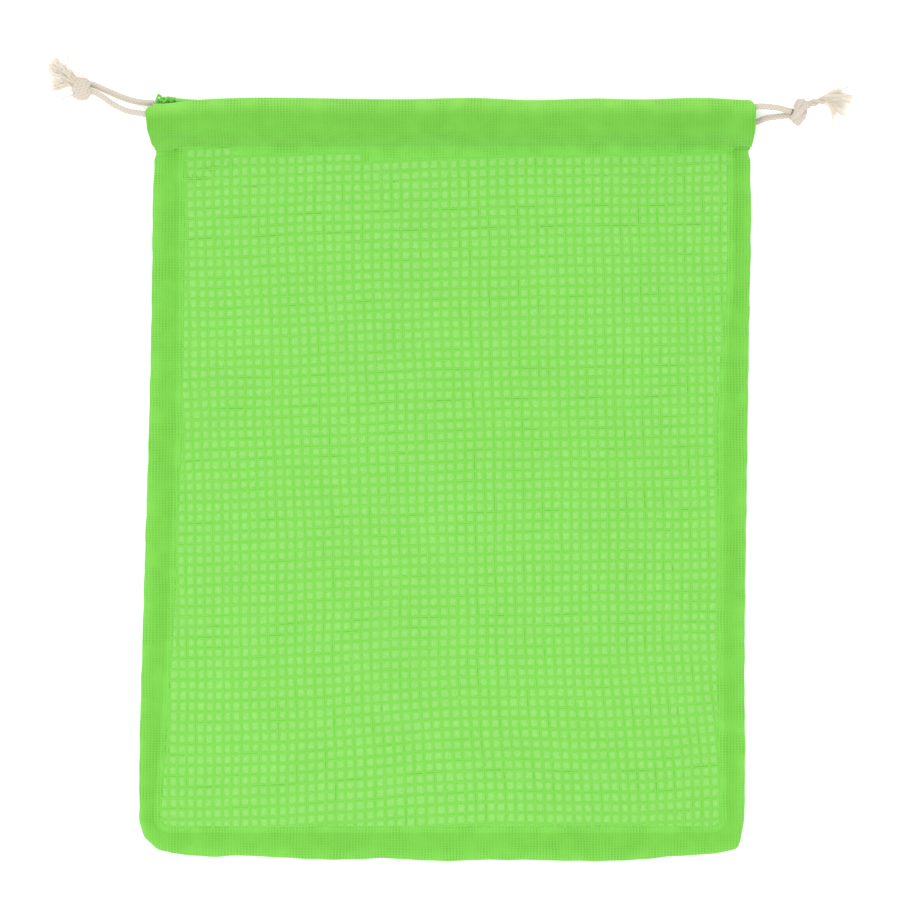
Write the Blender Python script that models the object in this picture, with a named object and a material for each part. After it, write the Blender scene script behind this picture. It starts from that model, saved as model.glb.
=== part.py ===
"""Cotton produce bag lying flat and empty, with its open-weave front up.

Frame: metres, +Z up. X runs across the bag, +Y runs from its bottom seam to its mouth, and the
origin is on the surface that the bag lies on, under the middle of the bag's outline.
The bag is a plain-woven back, an open-weave front inside three dense borders, and two folded
hems that are open channels. Two cotton cords run through both channels, one from each side, and
the two ends of each cord are tied in one knot and frayed into a tassel.
"""

import math

import bpy
import numpy as np
from mathutils import Matrix, Vector

# ---------------------------------------------------------------- driving dimensions, metres
GAP = 0.0003                 # air between pieces that touch or are sewn together
CLOTH = 0.0006               # one layer of plain cotton with its nap
WALL = 0.0005                # one layer of cotton pulled round the channels
CORD_D = 0.0025              # drawcord
NET = 0.0008                 # open-weave front
BORDER = 0.0012              # two turned-in layers at the sides and the bottom
MOUTH = 0.0004               # slit between the two hems

HEM_LOW_Y = 0.1367           # lower edge of the hems, where they are sewn on
STITCH_Y = 0.1390            # stitch line under the channels
CHANNEL_Y = 0.1444           # where the channels reach their full height
PINCH_Y = 0.1403             # lower end of the hollow inside a channel
HEM_EDGE = 0.0003            # the bag's front cloths stop this short of the hems
LEFT_CORNER_R = 0.0125       # rounded bottom corners
RIGHT_CORNER_R = 0.0012
NET_BOTTOM_Y = -0.1455       # lower edge of the open weave

CHANNEL_H = CORD_D + 2 * GAP
HEM_H = CHANNEL_H + 2 * WALL
BACK_CORD_Z = HEM_H / 2
FRONT_HEM_Z = HEM_H + MOUTH
FRONT_CORD_Z = FRONT_HEM_Z + HEM_H / 2
FRONT_Z = CLOTH + GAP        # underside of the front cloths

# Edges of the bag as (position, value) pairs of smooth curves.
LEFT_EDGE = ((-0.157, -0.1284), (-0.138, -0.1287), (-0.051, -0.1269), (0.032, -0.1244),
             (0.100, -0.1232), (0.1200, -0.1231), (0.1346, -0.1225), (0.142, -0.1242),
             (0.1500, -0.1267), (0.1535, -0.1259), (0.1570, -0.1222))
RIGHT_EDGE = ((-0.158, 0.1196), (-0.1548, 0.1207), (-0.150, 0.1222), (-0.146, 0.1231),
              (-0.141, 0.1235), (-0.137, 0.1231), (-0.131, 0.1236), (-0.092, 0.1235),
              (0.010, 0.1247), (0.070, 0.1256),
              (0.1200, 0.1263), (0.1346, 0.1259), (0.142, 0.1273), (0.150, 0.1288),
              (0.1545, 0.1286), (0.1575, 0.1268))
BOTTOM_EDGE = ((-0.128, -0.1553), (-0.117, -0.1563), (-0.102, -0.1579), (-0.087, -0.1572),
               (-0.074, -0.1579), (-0.047, -0.1592), (-0.030, -0.1583), (-0.004, -0.1597),
               (0.025, -0.1590), (0.062, -0.1597), (0.081, -0.1592), (0.093, -0.1579),
               (0.105, -0.1571), (0.123, -0.1554))
TOP_EDGE = ((-0.126, 0.1553), (-0.112, 0.1573), (-0.090, 0.1583), (-0.050, 0.1580),
            (-0.020, 0.1577), (0.010, 0.1583), (0.036, 0.1573), (0.062, 0.1581),
            (0.080, 0.1576), (0.112, 0.1583), (0.128, 0.1572))
NET_LEFT = ((-0.146, -0.1205), (-0.108, -0.1177), (-0.071, -0.1152), (-0.033, -0.1135),
            (0.010, -0.1117), (0.060, -0.1106), (0.137, -0.1102))
NET_RIGHT = ((-0.146, 0.1142), (-0.076, 0.1125), (-0.033, 0.1131), (0.040, 0.1131),
             (0.074, 0.1163), (0.137, 0.1166))

# The back hem lies inside the front one. Its left mouth is pulled in and stands up in a ruffle.
BACK_INSET_X = 0.0006
BACK_INSET_Y = 0.0008
MOUTH_PULL_X = 0.0010
RUFFLE_START_X = -0.1145
RUFFLE_END_X = -0.1085
RUFFLE_Y = 0.0037

# The cord's turn passes between the channels where their inner layers end.
LAYER_CUT_X = 0.1020         # the inner layers stop this far from the middle

# Routes of the drawcords, from the knot through the front channel, round at the far side and
# back through the back channel to the knot.
LEFT_ROUTE = (
    (-0.1467, 0.1604, 0.0049), (-0.1436, 0.1585, 0.0050), (-0.1385, 0.1550, 0.0056),
    (-0.1330, 0.1526, 0.0062), (-0.1270, 0.1516, FRONT_CORD_Z), (-0.1190, 0.1499, FRONT_CORD_Z),
    (-0.1100, 0.1484, FRONT_CORD_Z), (-0.0700, 0.1478, FRONT_CORD_Z),
    (-0.0200, 0.1471, FRONT_CORD_Z), (0.0300, 0.1477, FRONT_CORD_Z),
    (0.0800, 0.1464, FRONT_CORD_Z), (0.1080, 0.1458, FRONT_CORD_Z),
    (0.1150, 0.1459, FRONT_CORD_Z - 0.0001), (0.1190, 0.1472, FRONT_CORD_Z - 0.0007),
    (0.1208, 0.1502, FRONT_CORD_Z - 0.0022), (0.1190, 0.1531, BACK_CORD_Z + 0.0007),
    (0.1150, 0.1541, BACK_CORD_Z + 0.0001), (0.1080, 0.1541, BACK_CORD_Z),
    (0.0500, 0.1536, BACK_CORD_Z), (-0.0100, 0.1539, BACK_CORD_Z),
    (-0.0700, 0.1537, BACK_CORD_Z), (-0.1060, 0.1541, BACK_CORD_Z),
    (-0.1190, 0.1557, BACK_CORD_Z), (-0.1290, 0.1567, BACK_CORD_Z - 0.0003),
    (-0.1360, 0.1587, 0.0016), (-0.1420, 0.1613, 0.0019), (-0.1472, 0.1636, 0.0025))
RIGHT_ROUTE = (
    (0.1411, 0.1530, 0.0049), (0.1380, 0.1539, 0.0053), (0.1335, 0.1545, 0.0061),
    (0.1290, 0.1546, FRONT_CORD_Z), (0.1200, 0.1540, FRONT_CORD_Z),
    (0.0800, 0.1536, FRONT_CORD_Z), (0.0300, 0.1541, FRONT_CORD_Z),
    (-0.0200, 0.1536, FRONT_CORD_Z), (-0.0700, 0.1540, FRONT_CORD_Z),
    (-0.1000, 0.1540, FRONT_CORD_Z), (-0.1050, 0.1538, FRONT_CORD_Z - 0.0002),
    (-0.1086, 0.1526, FRONT_CORD_Z - 0.0008), (-0.1103, 0.1500, FRONT_CORD_Z - 0.0022),
    (-0.1086, 0.1474, BACK_CORD_Z + 0.0008), (-0.1050, 0.1462, BACK_CORD_Z + 0.0002),
    (-0.1000, 0.1460, BACK_CORD_Z), (-0.0400, 0.1466, BACK_CORD_Z),
    (0.0200, 0.1460, BACK_CORD_Z), (0.0800, 0.1466, BACK_CORD_Z),
    (0.1150, 0.1474, BACK_CORD_Z), (0.1270, 0.1480, BACK_CORD_Z),
    (0.1320, 0.1497, 0.0019), (0.1365, 0.1504, 0.0021), (0.1423, 0.1510, 0.0028))
CORD_STEP = 3.0 * CORD_D     # distance between points along a cord

# Knots, as the middle and half sizes of a lumpy ball, with the heading of its long axis.
LEFT_KNOT = {"middle": (-0.1524, 0.1622, 0.0044), "half": (0.0050, 0.0053, 0.0043), "turn": 20}
RIGHT_KNOT = {"middle": (0.1463, 0.1522, 0.0044), "half": (0.0042, 0.0061, 0.0043), "turn": -24}
KNOT_LUMPS = 3
KNOT_LUMP_DEPTH = 0.07

# Tassels, as stations of (x, y, z, half width, half height) from the knot to the frayed tips.
LEFT_TASSEL_MAIN = ((-0.1569, 0.1664, 0.0040, 0.0028, 0.0016),
                    (-0.1594, 0.1681, 0.0033, 0.0038, 0.0020),
                    (-0.1630, 0.1703, 0.0024, 0.0032, 0.0018),
                    (-0.1656, 0.1726, 0.0018, 0.0024, 0.0014),
                    (-0.1674, 0.1742, 0.0012, 0.0009, 0.0007))
LEFT_TASSEL_SIDE = ((-0.1583, 0.1617, 0.0038, 0.0016, 0.0014),
                    (-0.1606, 0.1625, 0.0028, 0.0018, 0.0015),
                    (-0.1634, 0.1628, 0.0019, 0.0015, 0.0012),
                    (-0.1658, 0.1630, 0.0012, 0.0007, 0.0006))
RIGHT_TASSEL_BRUSH = ((0.1514, 0.1561, 0.0040, 0.0015, 0.0014),
                      (0.1550, 0.1567, 0.0033, 0.0015, 0.0013),
                      (0.1586, 0.1567, 0.0026, 0.0027, 0.0018),
                      (0.1622, 0.1560, 0.0021, 0.0046, 0.0018),
                      (0.1658, 0.1555, 0.0016, 0.0048, 0.0013),
                      (0.1688, 0.1553, 0.0011, 0.0030, 0.0007))

# Mesh counts.
PANEL_ACROSS, PANEL_ALONG = 18, 16
BORDER_ALONG, BORDER_ACROSS = 22, 5
HEM_STATIONS = 24
FOLD_STEPS = 5
TUFT_SIDES = 12

# Finishes as base colour, roughness.
LIME_CLOTH = ((0.23, 0.66, 0.09), 0.85)
LIME_NET = ((0.30, 0.74, 0.13), 0.85)
NATURAL_COTTON = ((0.79, 0.72, 0.61), 0.90)


# ---------------------------------------------------------------- helpers
def clear_scene():
    """Remove whatever the file starts with."""
    for item in list(bpy.data.objects):
        bpy.data.objects.remove(item, do_unlink=True)


def smooth_value(curve, at):
    """Value at a position on the smooth curve through (position, value) pairs."""
    places = np.array([pair[0] for pair in curve])
    values = np.array([pair[1] for pair in curve])
    slopes = np.gradient(values, places)
    at = float(np.clip(at, places[0], places[-1]))
    i = int(np.clip(np.searchsorted(places, at) - 1, 0, len(places) - 2))
    span = places[i + 1] - places[i]
    t = (at - places[i]) / span
    rise = values[i + 1] - values[i]
    start, end = slopes[i] * span, slopes[i + 1] * span
    return float(values[i] + t * start + t * t * (3 * rise - 2 * start - end)
                 + t * t * t * (start + end - 2 * rise))


def ease(low, high, value):
    """0 below low, 1 above high, and smooth between them."""
    t = min(max((value - low) / (high - low), 0.0), 1.0)
    return t * t * (3.0 - 2.0 * t)


def mix(a, b, t):
    return a + (b - a) * t


def corner_drop(distance, radius):
    """How far a rounded corner falls back at a distance from the side."""
    if distance >= radius:
        return 0.0
    return radius - math.sqrt(max(radius ** 2 - (radius - max(distance, 0.0)) ** 2, 0.0))


def finish(name, colour, roughness):
    material = bpy.data.materials.new(name)
    material.use_nodes = True
    shader = material.node_tree.nodes["Principled BSDF"]
    shader.inputs["Base Color"].default_value = (*colour, 1.0)
    shader.inputs["Roughness"].default_value = roughness
    shader.inputs["Metallic"].default_value = 0.0
    material.diffuse_color = (*colour, 1.0)
    return material


def add_solid(name, points, faces, look):
    """One closed solid as a named object with its own material."""
    mesh = bpy.data.meshes.new(name)
    mesh.from_pydata([tuple(p) for p in points], [], faces)
    mesh.validate()
    solid = bpy.data.objects.new(name, mesh)
    bpy.context.collection.objects.link(solid)
    mesh.materials.append(finish(name, *look))
    mesh.shade_smooth()
    mesh.set_sharp_from_angle(angle=math.radians(40))
    return solid


def spaced(count):
    """Values from 0 to 1 that lie closer together towards both ends."""
    return [0.5 - 0.5 * math.cos(math.pi * i / count) for i in range(count + 1)]


def add_slab(name, across, along, lower, upper, look):
    """Closed sheet whose two faces are grids of points lower(u, v) and upper(u, v)."""
    points = []
    for surface in (lower, upper):
        for v in spaced(along):
            for u in spaced(across):
                points.append(surface(u, v))
    row = across + 1
    top = row * (along + 1)
    faces = []
    for j in range(along):
        for i in range(across):
            a = j * row + i
            faces.append((a, a + row, a + row + 1, a + 1))
            faces.append((top + a, top + a + 1, top + a + row + 1, top + a + row))
    rim = [i for i in range(row)]
    rim += [j * row + across for j in range(1, along + 1)]
    rim += [along * row + i for i in range(across - 1, -1, -1)]
    rim += [j * row for j in range(along - 1, 0, -1)]
    for here, after in zip(rim, rim[1:] + rim[:1]):
        faces.append((here, after, top + after, top + here))
    return add_solid(name, points, faces, look)


def add_loft(name, rings, look):
    """Closed solid through rings of points that turn clockwise seen from before the first ring."""
    size = len(rings[0])
    points = [p for ring in rings for p in ring]
    faces = [tuple(reversed(range(size)))]
    for k in range(len(rings) - 1):
        for i in range(size):
            a = k * size + i
            b = k * size + (i + 1) % size
            faces.append((a, b, b + size, a + size))
    last = (len(rings) - 1) * size
    faces.append(tuple(last + i for i in range(size)))
    return add_solid(name, points, faces, look)


# ---------------------------------------------------------------- outline of the bag
def left_x(y):
    return smooth_value(LEFT_EDGE, y)


def right_x(y):
    return smooth_value(RIGHT_EDGE, y)


def bottom_y(x):
    """Bottom edge with its rounded corners."""
    edge = smooth_value(BOTTOM_EDGE, x)
    left_rise = corner_drop(x - left_x(edge), LEFT_CORNER_R)
    right_rise = corner_drop(right_x(edge) - x, RIGHT_CORNER_R)
    return edge + max(left_rise, right_rise)


def top_y(x):
    """Top fold of the front hem."""
    return smooth_value(TOP_EDGE, x)


# ---------------------------------------------------------------- cloths of the body
def panel_point(u, v, z):
    """Point of the bag's body at u across and v up, from the bottom edge to the hems."""
    x = mix(left_x(-0.150), right_x(-0.150), u)
    y = mix(bottom_y(x), HEM_LOW_Y - HEM_EDGE, v)
    return mix(left_x(y), right_x(y), u), y, z


def add_back_panel():
    """Plain-woven back, flat on the surface that the bag lies on."""
    return add_slab("back_panel", PANEL_ACROSS, PANEL_ALONG,
                    lambda u, v: panel_point(u, v, 0.0),
                    lambda u, v: panel_point(u, v, CLOTH), LIME_CLOTH)


def net_point(u, v, z):
    """Point of the open-weave front, which stops short of its borders by a gap."""
    y = mix(NET_BOTTOM_Y + GAP, HEM_LOW_Y - HEM_EDGE, v)
    low = smooth_value(NET_LEFT, y) + GAP
    high = smooth_value(NET_RIGHT, y) - GAP
    return mix(low, high, u), y, z


def add_front_net():
    """Open-weave front panel as one sheet."""
    return add_slab("front_net", PANEL_ACROSS, PANEL_ALONG,
                    lambda u, v: net_point(u, v, FRONT_Z),
                    lambda u, v: net_point(u, v, FRONT_Z + NET), LIME_NET)


def border_top(across):
    """Upper surface of a border: a soft crown that thins towards the outer edge."""
    crown = math.sin(math.pi * min(0.25 + 0.75 * across, 1.0))
    return FRONT_Z + BORDER * (0.55 + 0.45 * crown)


def add_side_border(name, outer_x, inner_x, side):
    """Dense strip beside the open weave; across runs from the outer edge to the weave."""
    def point(u, v, top):
        across = u if side < 0 else 1.0 - u
        foot = mix(outer_x(-0.150), inner_x(-0.146), across)
        y = mix(bottom_y(foot), HEM_LOW_Y - HEM_EDGE, v)
        low_end = max(y, NET_BOTTOM_Y)
        x = mix(outer_x(y), inner_x(low_end), across)
        return x, y, border_top(1.0 - across) if top else FRONT_Z

    return add_slab(name, BORDER_ACROSS, BORDER_ALONG,
                    lambda u, v: point(u, v, False), lambda u, v: point(u, v, True), LIME_CLOTH)


def add_bottom_border():
    """Dense strip below the open weave, between the two side strips."""
    left = smooth_value(NET_LEFT, NET_BOTTOM_Y) + GAP
    right = smooth_value(NET_RIGHT, NET_BOTTOM_Y) - GAP

    def point(u, v, top):
        x = mix(left, right, u)
        y = mix(bottom_y(x), NET_BOTTOM_Y, v)
        return x, y, border_top(v) if top else FRONT_Z

    return add_slab("bottom_border", BORDER_ALONG, BORDER_ACROSS,
                    lambda u, v: point(u, v, False), lambda u, v: point(u, v, True), LIME_CLOTH)


# ---------------------------------------------------------------- hems with their channels
def hem_section(top, lower, upper, low_y, inset):
    """Loop of (y, z) round a hem: along its underside, round the fold and back along its top.

    lower(y) and upper(y) are the outer surfaces, and inset is 0 for the outside of the cloth
    and one wall for the inside of the channel.
    """
    radius = HEM_H / 2
    fold_y = top - radius
    heights = [low_y, mix(low_y, CHANNEL_Y, 0.35), mix(low_y, CHANNEL_Y, 0.7), CHANNEL_Y, fold_y]
    under = [(y, lower(y) + inset) for y in heights]
    over = [(y, upper(y) - inset) for y in reversed(heights)]
    middle = (lower(fold_y) + upper(fold_y)) / 2
    fold = []
    for k in range(1, FOLD_STEPS):
        angle = -math.pi / 2 + math.pi * k / FOLD_STEPS
        fold.append((fold_y + (radius - inset) * math.cos(angle),
                     middle + (radius - inset) * math.sin(angle)))
    return under + fold + over


def add_hem(name, lower, upper, top, start_x, end_x):
    """Open channel of folded cloth, a tube that is open at both ends."""
    outside, inside = [], []
    for k in range(HEM_STATIONS + 1):
        u = k / HEM_STATIONS
        x = mix(start_x(CHANNEL_Y), end_x(CHANNEL_Y), u)
        for low_y, inset, rings in ((HEM_LOW_Y, 0.0, outside), (PINCH_Y, WALL, inside)):
            section = hem_section(top(x), lower, upper, low_y, inset)
            rings.append([(mix(start_x(y), end_x(y), u), y, z) for y, z in section])
    size = len(outside[0])
    points = [p for ring in outside + inside for p in ring]
    hollow = size * len(outside)
    faces = []
    for i in range(size):
        after = (i + 1) % size
        for k in range(HEM_STATIONS):
            a, b = k * size + i, k * size + after
            faces.append((a, b, b + size, a + size))
            a, b = a + hollow, b + hollow
            faces.append((a, a + size, b + size, b))
        end = HEM_STATIONS * size
        faces.append((after, i, hollow + i, hollow + after))
        faces.append((end + i, end + after, end + hollow + after, end + hollow + i))
    return add_solid(name, points, faces, LIME_CLOTH)


def cut_inner_layer(hem, low_z, high_z):
    """End the hem's inner layer short of both sides, so that a cord can turn between channels."""
    for side in (-1, 1):
        middle = (side * (LAYER_CUT_X + 0.020), (CHANNEL_Y + 0.1556) / 2, (low_z + high_z) / 2)
        bpy.ops.mesh.primitive_cube_add(size=1.0, location=middle)
        cutter = bpy.context.object
        cutter.name = f"cutter_{hem.name}_{'left' if side < 0 else 'right'}"
        size = (0.040, 0.1556 - CHANNEL_Y, high_z - low_z)
        cutter.data.transform(Matrix.Diagonal((*size, 1.0)))
        cutter.hide_render = True
        cutter.display_type = "WIRE"
        cut = hem.modifiers.new(cutter.name, "BOOLEAN")
        cut.operation = "DIFFERENCE"
        cut.object = cutter


def back_upper(y):
    return mix(CLOTH + GAP, HEM_H, ease(STITCH_Y, CHANNEL_Y, y))


def front_lower(y):
    return mix(CLOTH + 2 * GAP, FRONT_HEM_Z, ease(STITCH_Y, CHANNEL_Y, y))


def front_upper(y):
    return mix(CLOTH + 2 * GAP + BORDER, FRONT_HEM_Z + HEM_H, ease(STITCH_Y, CHANNEL_Y, y))


def back_top_y(x):
    """Top fold of the back hem, with the ruffled left corner."""
    return top_y(x) - BACK_INSET_Y + RUFFLE_Y * (1.0 - ease(RUFFLE_START_X, RUFFLE_END_X, x))


def back_start_x(y):
    """Left mouth of the back hem, pulled in where the channel is open."""
    return left_x(HEM_LOW_Y) + BACK_INSET_X + MOUTH_PULL_X * ease(HEM_LOW_Y, CHANNEL_Y, y)


def back_end_x(y):
    return right_x(y) - BACK_INSET_X


def add_hems():
    back = add_hem("back_hem", lambda y: 0.0, back_upper, back_top_y, back_start_x, back_end_x)
    cut_inner_layer(back, HEM_H - 1.5 * WALL, HEM_H + MOUTH / 2)
    front = add_hem("front_hem", front_lower, front_upper, top_y, left_x, right_x)
    cut_inner_layer(front, FRONT_HEM_Z - MOUTH / 2, FRONT_HEM_Z + 1.5 * WALL)
    return back, front


# ---------------------------------------------------------------- cords, knots and tassels
def route_points(route, step):
    """Points a step apart on the smooth curve through a route's own points."""
    spots = [Vector(p) for p in route]
    spots = [2 * spots[0] - spots[1]] + spots + [2 * spots[-1] - spots[-2]]
    fine = []
    for k in range(1, len(spots) - 2):
        before, start, end, after = spots[k - 1:k + 3]
        for n in range(40):
            t = n / 40
            fine.append(0.5 * (2 * start + (end - before) * t
                               + (2 * before - 5 * start + 4 * end - after) * t ** 2
                               + (3 * start - before - 3 * end + after) * t ** 3))
    fine.append(spots[-2])
    run = [0.0]
    for a, b in zip(fine, fine[1:]):
        run.append(run[-1] + (b - a).length)
    count = round(run[-1] / step)
    stops = np.linspace(0.0, run[-1], count + 1)
    return [tuple(float(np.interp(s, run, [p[axis] for p in fine])) for axis in range(3))
            for s in stops]


def add_cord(name, route):
    """Round cord as a tube with closed ends."""
    curve = bpy.data.curves.new(name, "CURVE")
    curve.dimensions = "3D"
    curve.bevel_depth = CORD_D / 2
    curve.bevel_resolution = 2
    curve.use_fill_caps = True
    places = route_points(route, CORD_STEP)
    spline = curve.splines.new("POLY")
    spline.points.add(len(places) - 1)
    for spot, place in zip(spline.points, places):
        spot.co = (*place, 1.0)
    curve.materials.append(finish(name, *NATURAL_COTTON))
    cord = bpy.data.objects.new(name, curve)
    bpy.context.collection.objects.link(cord)
    return cord


def add_knot(name, knot):
    """Overhand knot as a ball whose wraps stand out as slanting lumps."""
    bpy.ops.mesh.primitive_uv_sphere_add(segments=18, ring_count=12, radius=1.0)
    ball = bpy.context.object
    ball.name = name
    ball.data.name = name
    for vertex in ball.data.vertices:
        way = vertex.co.normalized()
        around = math.atan2(way.y, way.x)
        wraps = math.cos(KNOT_LUMPS * around + 2.5 * way.z) * (1.0 - way.z ** 2)
        vertex.co = way * (1.0 + KNOT_LUMP_DEPTH * (wraps - 1.0))
    place = (Matrix.Translation(knot["middle"])
             @ Matrix.Rotation(math.radians(knot["turn"]), 4, "Z")
             @ Matrix.Diagonal((*knot["half"], 1.0)))
    ball.data.transform(place)
    ball.data.materials.append(finish(name, *NATURAL_COTTON))
    ball.data.shade_smooth()
    return ball


def tuft_rings(stations):
    """Oval rings square to the line through a tuft's stations."""
    rings = []
    for k, (x, y, z, half_w, half_h) in enumerate(stations):
        before = Vector(stations[max(k - 1, 0)][:3])
        after = Vector(stations[min(k + 1, len(stations) - 1)][:3])
        ahead = (after - before).normalized()
        side = Vector((-ahead.y, ahead.x, 0.0)).normalized()
        up = ahead.cross(side)
        ring = []
        for i in range(TUFT_SIDES):
            angle = 2 * math.pi * i / TUFT_SIDES
            ring.append(Vector((x, y, z)) + side * half_w * math.cos(angle)
                        + up * half_h * math.sin(angle))
        rings.append(ring)
    return rings


def add_tuft(name, stations):
    """Bundle of frayed cord ends as one closed solid."""
    return add_loft(name, tuft_rings(stations), NATURAL_COTTON)


# ---------------------------------------------------------------- the bag
def main():
    clear_scene()
    add_back_panel()
    add_front_net()
    add_side_border("side_border_left", left_x, lambda y: smooth_value(NET_LEFT, y), -1)
    add_side_border("side_border_right", right_x, lambda y: smooth_value(NET_RIGHT, y), 1)
    add_bottom_border()
    add_hems()
    add_cord("drawcord_left", LEFT_ROUTE)
    add_cord("drawcord_right", RIGHT_ROUTE)
    add_knot("knot_left", LEFT_KNOT)
    add_knot("knot_right", RIGHT_KNOT)
    add_tuft("tassel_left", LEFT_TASSEL_MAIN)
    add_tuft("tassel_left_side", LEFT_TASSEL_SIDE)
    add_tuft("tassel_right", RIGHT_TASSEL_BRUSH)


main()
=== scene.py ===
# %% [markdown]
# # A cotton produce bag, made around its frame
# The bag lies flat and empty. Its front is an open weave of soft lime-green yarns inside dense
# borders, its back is one plain cloth that shows through the cells, and two natural cotton
# cords run through a folded hem. The CAD model gives every size and place, so this lesson
# starts by loading it and keeping its box.

# %% Load the frame
import math
import random

import bpy
import numpy as np
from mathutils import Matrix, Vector
from mathutils.bvhtree import BVHTree


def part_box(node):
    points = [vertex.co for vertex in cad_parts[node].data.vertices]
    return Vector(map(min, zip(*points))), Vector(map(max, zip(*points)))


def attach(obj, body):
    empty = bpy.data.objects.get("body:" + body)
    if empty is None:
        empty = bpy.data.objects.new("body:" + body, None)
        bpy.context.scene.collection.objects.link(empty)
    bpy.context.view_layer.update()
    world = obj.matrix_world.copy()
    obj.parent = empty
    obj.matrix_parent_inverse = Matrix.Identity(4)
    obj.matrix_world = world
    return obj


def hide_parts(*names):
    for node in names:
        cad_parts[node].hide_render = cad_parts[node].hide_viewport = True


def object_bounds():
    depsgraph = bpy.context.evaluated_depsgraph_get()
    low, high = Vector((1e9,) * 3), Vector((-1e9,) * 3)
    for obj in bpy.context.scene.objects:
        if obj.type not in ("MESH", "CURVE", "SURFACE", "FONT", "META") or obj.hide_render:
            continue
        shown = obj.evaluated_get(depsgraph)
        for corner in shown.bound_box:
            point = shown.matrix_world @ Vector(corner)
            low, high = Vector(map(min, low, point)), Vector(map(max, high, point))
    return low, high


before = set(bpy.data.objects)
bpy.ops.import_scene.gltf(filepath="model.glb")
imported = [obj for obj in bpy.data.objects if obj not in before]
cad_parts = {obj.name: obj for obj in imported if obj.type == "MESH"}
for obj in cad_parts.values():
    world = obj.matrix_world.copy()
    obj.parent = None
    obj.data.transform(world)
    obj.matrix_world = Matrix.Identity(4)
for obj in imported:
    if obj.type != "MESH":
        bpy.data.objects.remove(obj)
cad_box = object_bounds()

MM = 0.001
bpy.ops.object.select_all(action="DESELECT")
print("nodes:", sorted(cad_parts))

# %% [markdown]
# ## Camera, light and floor
# The bag can't stand by itself, so the camera looks straight down on it from above. A long
# lens keeps the outline square. Cotton is matt, so most light comes evenly from the whole sky.
# One large soft lamp, high over the bag's lower left, adds just enough slope to show the
# yarns. The floor is a light table that glows a little, so shadows on it stay pale.

# %% Camera
PICTURE_WIDTH = 375 * MM
LENS_MM = 400.0
SENSOR_MM = 36.0
AIM_SHIFT = Vector((0.3 * MM, 4.1 * MM, 0.0))
low, high = Vector(cad_box[0]), Vector(cad_box[1])
aim = (low + high) / 2 + AIM_SHIFT
camera_data = bpy.data.cameras.new("overhead_camera")
camera_data.lens = LENS_MM
camera_data.sensor_width = SENSOR_MM
camera = bpy.data.objects.new("overhead_camera", camera_data)
camera.location = (aim.x, aim.y, PICTURE_WIDTH * LENS_MM / SENSOR_MM)
bpy.context.scene.collection.objects.link(camera)
bpy.context.scene.camera = camera
print("camera height", round(camera.location.z, 3))

# %% Light and floor
SKY_STRENGTH = 1.22
LAMP_POWER = 3.8
LAMP_PLACE = (-0.45, -0.40, 1.25)
LAMP_SIZE = 0.7
FLOOR_GLOW = 0.25
FLOOR_WHITE = 0.93
FLOOR_SIZE = 8.0
FLOOR_Z = -0.2 * MM
scene = bpy.context.scene
scene.view_settings.view_transform = "Standard"
world = bpy.data.worlds.new("soft_sky")
scene.world = world
world.use_nodes = True
sky = world.node_tree.nodes["Background"]
sky.inputs["Color"].default_value = (1.0, 1.0, 1.0, 1.0)
sky.inputs["Strength"].default_value = SKY_STRENGTH


def add_lamp(name, place, target, size, power):
    data = bpy.data.lights.new(name, "AREA")
    data.shape = "SQUARE"
    data.size = size
    data.energy = power
    lamp = bpy.data.objects.new(name, data)
    lamp.location = place
    lamp.rotation_euler = (Vector(target) - Vector(place)).to_track_quat("-Z", "Y").to_euler()
    bpy.context.scene.collection.objects.link(lamp)
    return lamp


add_lamp("window_lamp", LAMP_PLACE, (0.0, 0.0, 0.0), LAMP_SIZE, LAMP_POWER)


def add_floor():
    bpy.ops.mesh.primitive_plane_add(size=FLOOR_SIZE, location=(0.0, 0.0, FLOOR_Z))
    floor = bpy.context.object
    floor.name = "pale_floor"
    paper = bpy.data.materials.new("pale_paper")
    paper.use_nodes = True
    shader = paper.node_tree.nodes["Principled BSDF"]
    shader.inputs["Base Color"].default_value = (FLOOR_WHITE, FLOOR_WHITE, FLOOR_WHITE, 1.0)
    shader.inputs["Roughness"].default_value = 0.9
    shader.inputs["Emission Color"].default_value = (1.0, 1.0, 1.0, 1.0)
    shader.inputs["Emission Strength"].default_value = FLOOR_GLOW
    floor.data.materials.append(paper)
    return floor


add_floor()

# %% [markdown]
# ## Reading the edges off the frame
# Every cloth must end where its CAD solid ends. The outline could be typed again, but then two
# files would have to agree. Instead, rays are shot at the CAD solids and the hits are kept in
# small tables that numpy can look up for thousands of points at once.

# %% Edge tables
def tree_of(piece):
    """Search tree of a piece or a CAD solid, for shooting rays at it."""
    mesh = piece.data
    mesh.calc_loop_triangles()
    spots = [vertex.co[:] for vertex in mesh.vertices]
    return BVHTree.FromPolygons(spots, [triangle.vertices[:] for triangle in mesh.loop_triangles])


def mix(a, b, t):
    return a + (b - a) * t


def ease(low_end, high_end, value):
    """0 below low_end, 1 above high_end and smooth between."""
    t = np.clip((value - low_end) / (high_end - low_end), 0.0, 1.0)
    return t * t * (3.0 - 2.0 * t)


def softened(values, reach):
    """Running mean over a table, with its ends repeated."""
    padded_values = np.pad(values, reach, mode="edge")
    return np.convolve(padded_values, np.ones(2 * reach + 1) / (2 * reach + 1), mode="valid")


def edge_table(node, places, start, way, axis, reach=4):
    """Function that gives where a node's surface lies, from a ray shot at each place."""
    tree = tree_of(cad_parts[node])
    hits = []
    for place in places:
        found = tree.ray_cast(Vector(start(place)), Vector(way))[0]
        hits.append(found[axis] if found is not None else (hits[-1] if hits else np.nan))
    values = np.array(hits)
    values[np.isnan(values)] = values[~np.isnan(values)][0]
    values = softened(values, reach)
    return lambda at: np.interp(at, places, values)


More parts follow.
